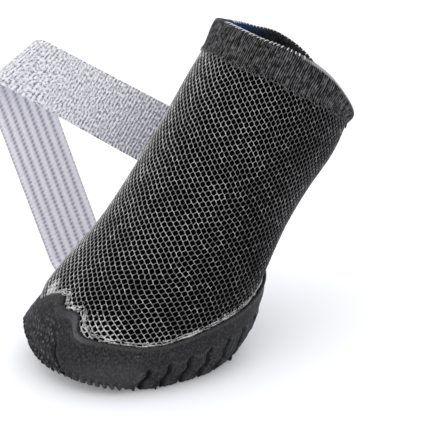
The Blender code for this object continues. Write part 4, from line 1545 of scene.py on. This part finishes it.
@dataclass
class Frame:
    """A place and three directions on a strip: ahead, across and out."""

    place: Array
    ahead: Array
    across: Array
    out: Array

    def carry(self, points: Array) -> Array:
        """Return points (along, across, out) carried to the boot."""
        return (self.place + points[..., :1] * self.ahead + points[..., 1:2] * self.across
                + points[..., 2:] * self.out)

    def twisted(self, angle: float) -> "Frame":
        """Turn the frame about its own direction.

        Args:
            angle: The angle in degrees.

        Returns:
            The turned frame.
        """
        turn = np.radians(angle)
        across = self.across * np.cos(turn) + self.out * np.sin(turn)
        return Frame(self.place, self.ahead, across, self.out * np.cos(turn) - self.across * np.sin(turn))

    def turn_to(self, target: Array) -> tuple[float, float]:
        """Work out the bend that turns the strip towards a direction.

        Args:
            target: The unit direction.

        Returns:
            The bend's angle and skew in degrees.
        """
        ahead, across, out = (float(target @ part) for part in (self.ahead, self.across, self.out))
        skew = np.arctan2(-across, 1 - ahead)
        angle = np.arccos(np.clip(1 - (1 - ahead) / np.cos(skew) ** 2, -1, 1))
        return float(np.degrees(angle) * np.sign(out)), float(np.degrees(skew))


@dataclass(frozen=True)
class Bend:
    """A bend of a flat strip round a cylinder that lies across it."""

    start: float
    angle: float
    radius: float
    skew: float

    @property
    def arc(self) -> float:
        """Return the length of strip that the bend takes up."""
        return self.radius * np.radians(abs(self.angle)) / np.cos(np.radians(self.skew))

    def apply(self, points: Array) -> Array:
        """Bend the strip: points past the line turn by the angle, and those on the arc by their share of it.

        Args:
            points: Points of the strip as (along, across, out).

        Returns:
            The bent points.
        """
        mirror = np.array([1, 1, np.sign(self.angle)])
        turn, tip = np.radians(abs(self.angle)), np.radians(self.skew)
        along = np.array([np.cos(tip), np.sin(tip), 0.0])
        axis = np.array([-np.sin(tip), np.cos(tip), 0.0])
        origin = np.array([self.start, 0.0, 0.0])
        place = points * mirror - origin
        b, a, h = place @ along, place @ axis, place[..., 2]
        arc = np.clip(b / self.radius, 0, turn)
        rest = np.where(b > 0, b - arc * self.radius, b)
        inner = self.radius - h
        forward = inner * np.sin(arc) + rest * np.cos(arc)
        rise = self.radius - inner * np.cos(arc) + rest * np.sin(arc)
        bent = a[..., None] * axis + forward[..., None] * along + rise[..., None] * np.array([0, 0, 1.0])
        return (bent + origin) * mirror

    def frame_after(self, frame: Frame) -> Frame:
        """Carry the frame to the bend's end, by bending the end's own place and three steps from it.

        Args:
            frame: The strip's frame where it is flat.

        Returns:
            The frame at the bend's end.
        """
        far = self.start + self.arc
        probe = np.array([[far, 0, 0], [far + MM, 0, 0], [far, MM, 0], [far, 0, MM]])
        place, *tips = frame.carry(self.apply(probe))
        return Frame(place, *((tip - place) / MM for tip in tips))


@dataclass
class Strap:
    """The webbing: sewn round the ankle's rear, out to the side, folded back down and laid on the ground."""

    form: BootForm
    width: float = 20 * MM
    thickness: float = 1.2 * MM
    gap: float = 0.3 * MM
    sewn_from: float = -188.0
    leaves_at: float = -132.0
    height_on_shaft: float = 0.568
    reach: float = 75 * MM
    tail: float = 22 * MM
    floor_clearance: float = 0.3 * MM
    twist: float = 22.0
    hangs: tuple[float, float, float] = (0.19, 0.24, -0.95)
    fold_radius: float = 5 * MM
    landing_radius: float = 6 * MM
    shaft_lean: float = 33.5
    ribs: int = 7
    rib_depth: float = 0.32 * MM

    def __post_init__(self) -> None:
        """Solve the route: the fold that turns the webbing down, and the hang that brings it to the ground."""
        self.start = self.leaving_frame()
        folding = self.start.twisted(self.twist)
        hang = unit(np.array(self.hangs))
        self.fold = Bend(self.reach, *self._ordered(folding.turn_to(hang), self.fold_radius))
        after = self.fold.frame_after(folding)
        level = unit(np.cross(after.out, (0, 0, 1.0)))
        onward = np.cross((0, 0, 1.0), level)
        onward = onward * np.sign(onward[0])
        share = after.ahead @ level
        landing = after.turn_to(share * level + np.sqrt(1 - share**2) * onward)
        probe = Bend(0.0, *self._ordered(landing, self.landing_radius))
        laid = probe.frame_after(after)
        under = self.floor_clearance + (self.thickness if laid.out[2] < 0 else 0.0)
        self.hang_length = (laid.place[2] - under) / -after.ahead[2]
        self.landing = Bend(self.reach + self.fold.arc + self.hang_length, probe.angle, probe.radius, probe.skew)

    @staticmethod
    def _ordered(turn: tuple[float, float], radius: float) -> tuple[float, float, float]:
        """Return a bend's angle, radius and skew in the order that Bend takes them."""
        return turn[0], radius, turn[1]

    def on_shaft(self, angle: Array, across: Array) -> tuple[Array, Array]:
        """Find the webbing's places on the sock, at one height along the leaning shaft.

        Args:
            angle: The angles round the boot.
            across: The places across the webbing, with the angles as the first axis.

        Returns:
            The points and the outward normals.
        """
        lean = np.radians(self.shaft_lean)
        t = np.linspace(0.35, 1, 240)
        level = self.form.sock(t[:, None], angle[None, :]) @ np.array([0.0, np.sin(lean), np.cos(lean)])
        wanted = self.height_on_shaft * self.form.height + across
        at = np.array([np.interp(wanted[c], level[:, c], t) for c in range(len(angle))])
        return self.form.sock(at, angle[:, None]), self.form.normal(at, angle[:, None])

    def leaving_frame(self) -> Frame:
        """Work out the frame where the webbing leaves the shaft, along the sock's tangent.

        Returns:
            The frame.
        """
        three = np.radians(self.leaves_at + np.array([-1.0, 0.0, 1.0]))
        points, normals = self.on_shaft(three, np.zeros((3, 1)))
        ahead = unit(points[2, 0] - points[0, 0])
        lean = np.radians(self.shaft_lean)
        width = np.array([0.0, np.sin(lean), np.cos(lean)])
        width = unit(width - ahead * (width @ ahead))
        out = np.cross(ahead, width)
        return Frame(points[1, 0], ahead, width, out * np.sign(out @ normals[1, 0]))

    def free(self, stations: Array, across: Array, out: Array) -> Array:
        """Carry the flat strip past the ankle: it is bent at the landing and at the fold, then twisted.

        Args:
            stations: The places along the strip.
            across: The places across it.
            out: The places through its thickness.

        Returns:
            The points.
        """
        flat = np.stack([stations, across, out], -1)
        turn = np.radians(self.twist) * smooth_step(0, self.reach, stations)
        bent = self.fold.apply(self.landing.apply(flat))
        y, z = bent[..., 1].copy(), bent[..., 2].copy()
        bent[..., 1] = y * np.cos(turn) - z * np.sin(turn)
        bent[..., 2] = y * np.sin(turn) + z * np.cos(turn)
        return self.start.carry(bent)

    def build(self, material: bpy.types.Material) -> bpy.types.Object:
        """Build the webbing: a flat superellipse section with ribs on its inner face, carried along the route.

        Across each face the section's thickness is (1 - share**7)**(1/7) of the whole, and a rib is the root of a
        raised cosine.

        Args:
            material: The webbing's finish.

        Returns:
            The strap.
        """
        share = np.concatenate([[1.0, 0.993], np.linspace(0.966, -0.966, 57), [-0.993, -1.0]])
        bulk = (1 - np.abs(share) ** 7) ** (1 / 7)
        wide, thick = np.concatenate([share, share[-2:0:-1]]), np.concatenate([bulk, -bulk[-2:0:-1]])
        around = len(wide)
        across = wide * self.width / 2
        ribbed = np.clip(thick * 3, 0, 1)
        rib = (0.5 + 0.5 * np.cos(TURN * self.ribs * across / self.width)) ** 0.5
        out = self.gap + self.thickness / 2 * (1 + thick) - ribbed * (1 - rib) * self.rib_depth
        landing_end = self.landing.start + self.landing.arc
        end = landing_end + self.tail
        fold_end = self.reach + self.fold.arc
        stations = np.concatenate([
            np.linspace(0, self.reach, 60)[:-1], np.linspace(self.reach, fold_end, 40)[:-1],
            np.linspace(fold_end, self.landing.start, 50)[:-1], np.linspace(self.landing.start, landing_end, 30)[:-1],
            np.linspace(landing_end, end, 12)])
        skews = np.radians(np.interp(
            stations, [0.85 * self.reach, self.reach, fold_end, self.landing.start, landing_end, end],
            [0, self.fold.skew, self.fold.skew, self.landing.skew, self.landing.skew, 0]))
        ones = np.ones((len(stations), 1))
        flat = self.free(stations[:, None] - across * np.tan(skews)[:, None], across * ones, out * ones)
        angle = np.radians(np.linspace(self.sewn_from, self.leaves_at, 50))
        laid, normals = self.on_shaft(angle, across * np.ones((50, 1)))
        sewn = laid + normals * out[:, None]
        miss = sewn[-1] - flat[0]
        flat = flat + miss * (1 - smooth_step(0, 0.25 * self.reach, stations))[:, None, None]
        rows = np.concatenate([sewn[:-1], flat])
        rows = np.concatenate([rows[:1].mean(1, keepdims=True) + 0 * rows[:1], rows,
                               rows[-1:].mean(1, keepdims=True) + 0 * rows[-1:]])
        steps = np.linalg.norm(np.diff(rows[:, 0], axis=0), axis=-1)
        along = np.concatenate([[0], np.cumsum(steps)])[:, None] + 0 * across
        face = np.where(thick > 0, WebbingFace.RIBBED.value, WebbingFace.PILE.value) + 0 * along
        numbers = {"webbing": np.stack([along, across + 0 * along, face], -1), "crown": rib + 0 * along}
        return make_piece("webbing_strap", rows, grid_quads(len(rows), around), material, numbers, 1e-7)

    def length(self) -> float:
        """Return the webbing's whole length."""
        turn = np.radians(self.leaves_at - self.sewn_from)
        return self.landing.start + self.landing.arc + self.tail + turn * SHAFT_RADIUS


@dataclass
class Insole:
    """The felt pad that fills the foot of the sock."""

    form: BootForm
    low: float = 5.3 * MM
    thickness: float = 2.5 * MM
    inset: float = 2.3 * MM
    # Columns: y of a dip's middle, reach, depth.
    dips: tuple[tuple[float, float, float], ...] = ((-14 * MM, 17 * MM, 0.5 * MM), (14 * MM, 12 * MM, 0.6 * MM))

    def build(self, material: bpy.types.Material) -> bpy.types.Object:
        """Build the pad: rings that round its edge and a top that dips under the heel and the ball.

        The edge's rings follow half a turn of a circle, and a dip is a squared cosine of the distance to its middle.

        Args:
            material: The felt's finish.

        Returns:
            The insole.
        """
        angle = np.linspace(0, TURN, 160, endpoint=False)
        turns = np.linspace(-np.pi / 2, np.pi / 2, 9)
        side = [self.form.cup(angle, self.low + self.thickness * (0.5 + 0.5 * np.sin(a)),
                              -self.inset - 0.9 * MM * (1 - np.cos(a))) for a in turns]
        shares = np.linspace(1, 0, 26)[1:]
        top = [side[-1] * (s, s, 1) for s in shares]
        bottom = [side[0] * (s, s, 1) for s in shares[::-1]]
        points = np.array(bottom + side + top)
        top_rows = points[len(bottom) + len(side):]
        for y, reach, dip in self.dips:
            top_rows[..., 2] -= dip * bump_profile(np.hypot(top_rows[..., 0], top_rows[..., 1] - y), reach)
        return make_piece("felt_insole", points, grid_quads(len(points), len(angle)), material, None, 1e-7)


@dataclass(frozen=True)
class SoftLight:
    """A square soft light that faces the boot, placed by its turn from the camera and its elevation in degrees."""

    name: str
    turn: float
    elevation: float
    distance: float
    size: float
    power: float
    colour: Colour


@dataclass
class Studio:
    """The pale floor, the soft lights and the camera at the photograph's angle."""

    azimuth: float = 60.0
    elevation: float = 23.0
    distance: float = 530 * MM
    target: tuple[float, float, float] = (0.0, 24.1 * MM, 38.0 * MM)
    focal_pixels: float = 1750.0
    frame_pixels: float = 430.0
    sensor_width: float = 36.0
    floor_size: float = 8.0
    sky: Colour = (0.98, 0.982, 1.0)
    sky_strength: float = 1.02
    lights: tuple[SoftLight, ...] = (
        SoftLight("key", -62, 48, 0.9, 0.8, 1.7, (1.0, 0.99, 0.97)),
        SoftLight("top", 20, 78, 1.0, 0.9, 0.9, (1.0, 1.0, 1.0)),
        SoftLight("back", 165, 35, 0.9, 0.5, 1.2, (0.85, 0.93, 1.0)),
    )

    def direction(self, azimuth: float, elevation: float) -> Vector:
        """Return the unit direction from the boot to a place at an azimuth and an elevation."""
        a, e = np.radians(azimuth), np.radians(elevation)
        return Vector((np.cos(e) * np.sin(a), -np.cos(e) * np.cos(a), np.sin(e)))

    def lay_floor(self, material: bpy.types.Material) -> bpy.types.Object:
        """Build the floor as one flat square.

        Args:
            material: The floor's finish.

        Returns:
            The floor.
        """
        half = self.floor_size / 2
        points = np.array([(-half, -half, 0), (half, -half, 0), (half, half, 0), (-half, half, 0)])
        return make_piece("floor", points, [(0, 1, 2, 3)], material)

    def add(self, item: bpy.types.Object, towards: Vector, distance: float) -> None:
        """Put an object into the scene so that it faces the boot.

        Args:
            item: The light or the camera.
            towards: The unit direction from the boot to it.
            distance: How far it is from the boot.
        """
        item.location = Vector(self.target) + towards * distance
        item.rotation_euler = towards.to_track_quat("Z", "Y").to_euler()
        bpy.context.scene.collection.objects.link(item)

    def set_up(self) -> None:
        """Light the scene and set the camera."""
        world = bpy.data.worlds.new("studio")
        world.use_nodes = True
        background = world.node_tree.nodes["Background"].inputs
        background["Color"].default_value, background["Strength"].default_value = (*self.sky, 1.0), self.sky_strength
        bpy.context.scene.world = world
        bpy.context.scene.view_settings.view_transform = "Standard"
        for soft in self.lights:
            light = bpy.data.lights.new(soft.name, "AREA")
            light.energy, light.size, light.color = soft.power, soft.size, soft.colour
            self.add(bpy.data.objects.new(soft.name, light),
                     self.direction(self.azimuth + soft.turn, soft.elevation), soft.distance)
        camera = bpy.data.cameras.new("camera")
        camera.sensor_width = self.sensor_width
        camera.lens = self.sensor_width * self.focal_pixels / self.frame_pixels
        camera.clip_start, camera.clip_end = 0.01, 50.0
        item = bpy.data.objects.new("camera", camera)
        self.add(item, self.direction(self.azimuth, self.elevation), self.distance)
        bpy.context.scene.camera = item


@dataclass
class Boot:
    """The whole boot: each part is built, dressed, and set to ride on the model in place of its node."""

    form: BootForm = field(default_factory=BootForm)

    def place(self, piece: bpy.types.Object, slot: str, node: str | None = None) -> bpy.types.Object:
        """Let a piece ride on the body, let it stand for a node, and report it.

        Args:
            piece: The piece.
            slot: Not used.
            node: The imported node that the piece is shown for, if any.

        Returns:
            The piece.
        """
        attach(piece, "root")
        if node:
            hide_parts(node)
        log.info("%s: %d faces", piece.name, len(piece.data.polygons))
        return piece

    def build(self) -> None:
        """Build every part in order."""
        sole, sock, collar, strap = CupSole(self.form), Sock(self.form), Collar(self.form), Strap(self.form)
        cement = GlueFinish().make()
        self.place(sole.build_cup(RubberFinish().make()), "rubber", "outsole")
        self.place(sole.build_cement(cement), "rubber")
        net = NetFinish().make()
        self.place(sock.build_lining(LiningFinish().make()), "mesh_cloth", "upper")
        self.place(sock.build_net(net), "mesh_cloth", "upper")
        self.place(sock.build_seam(net), "mesh_cloth", "upper")
        self.place(collar.build_band(KnitFinish().make()), "rib_knit", "collar_binding")
        self.place(collar.build_whipping(ThreadFinish("rim thread", (0.80, 0.80, 0.79)).make()), "rib_knit")
        self.place(collar.build_overlock(ThreadFinish("overlock thread", (0.11, 0.11, 0.112)).make()), "rib_knit")
        self.place(Insole(self.form).build(FeltFinish().make()), "insole_felt", "insole")
        webbing = self.place(strap.build(WebbingFinish().make()), "webbing", "strap")
        strap.length()


def main() -> None:
    """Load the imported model, build the boot on it and set up the studio."""
    logging.basicConfig(level=logging.INFO, format="%(name)s: %(message)s")
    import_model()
    Boot().build()
    studio = Studio()
    studio.lay_floor(GroundFinish().make())
    studio.set_up()


if __name__ == "__main__":
    main()
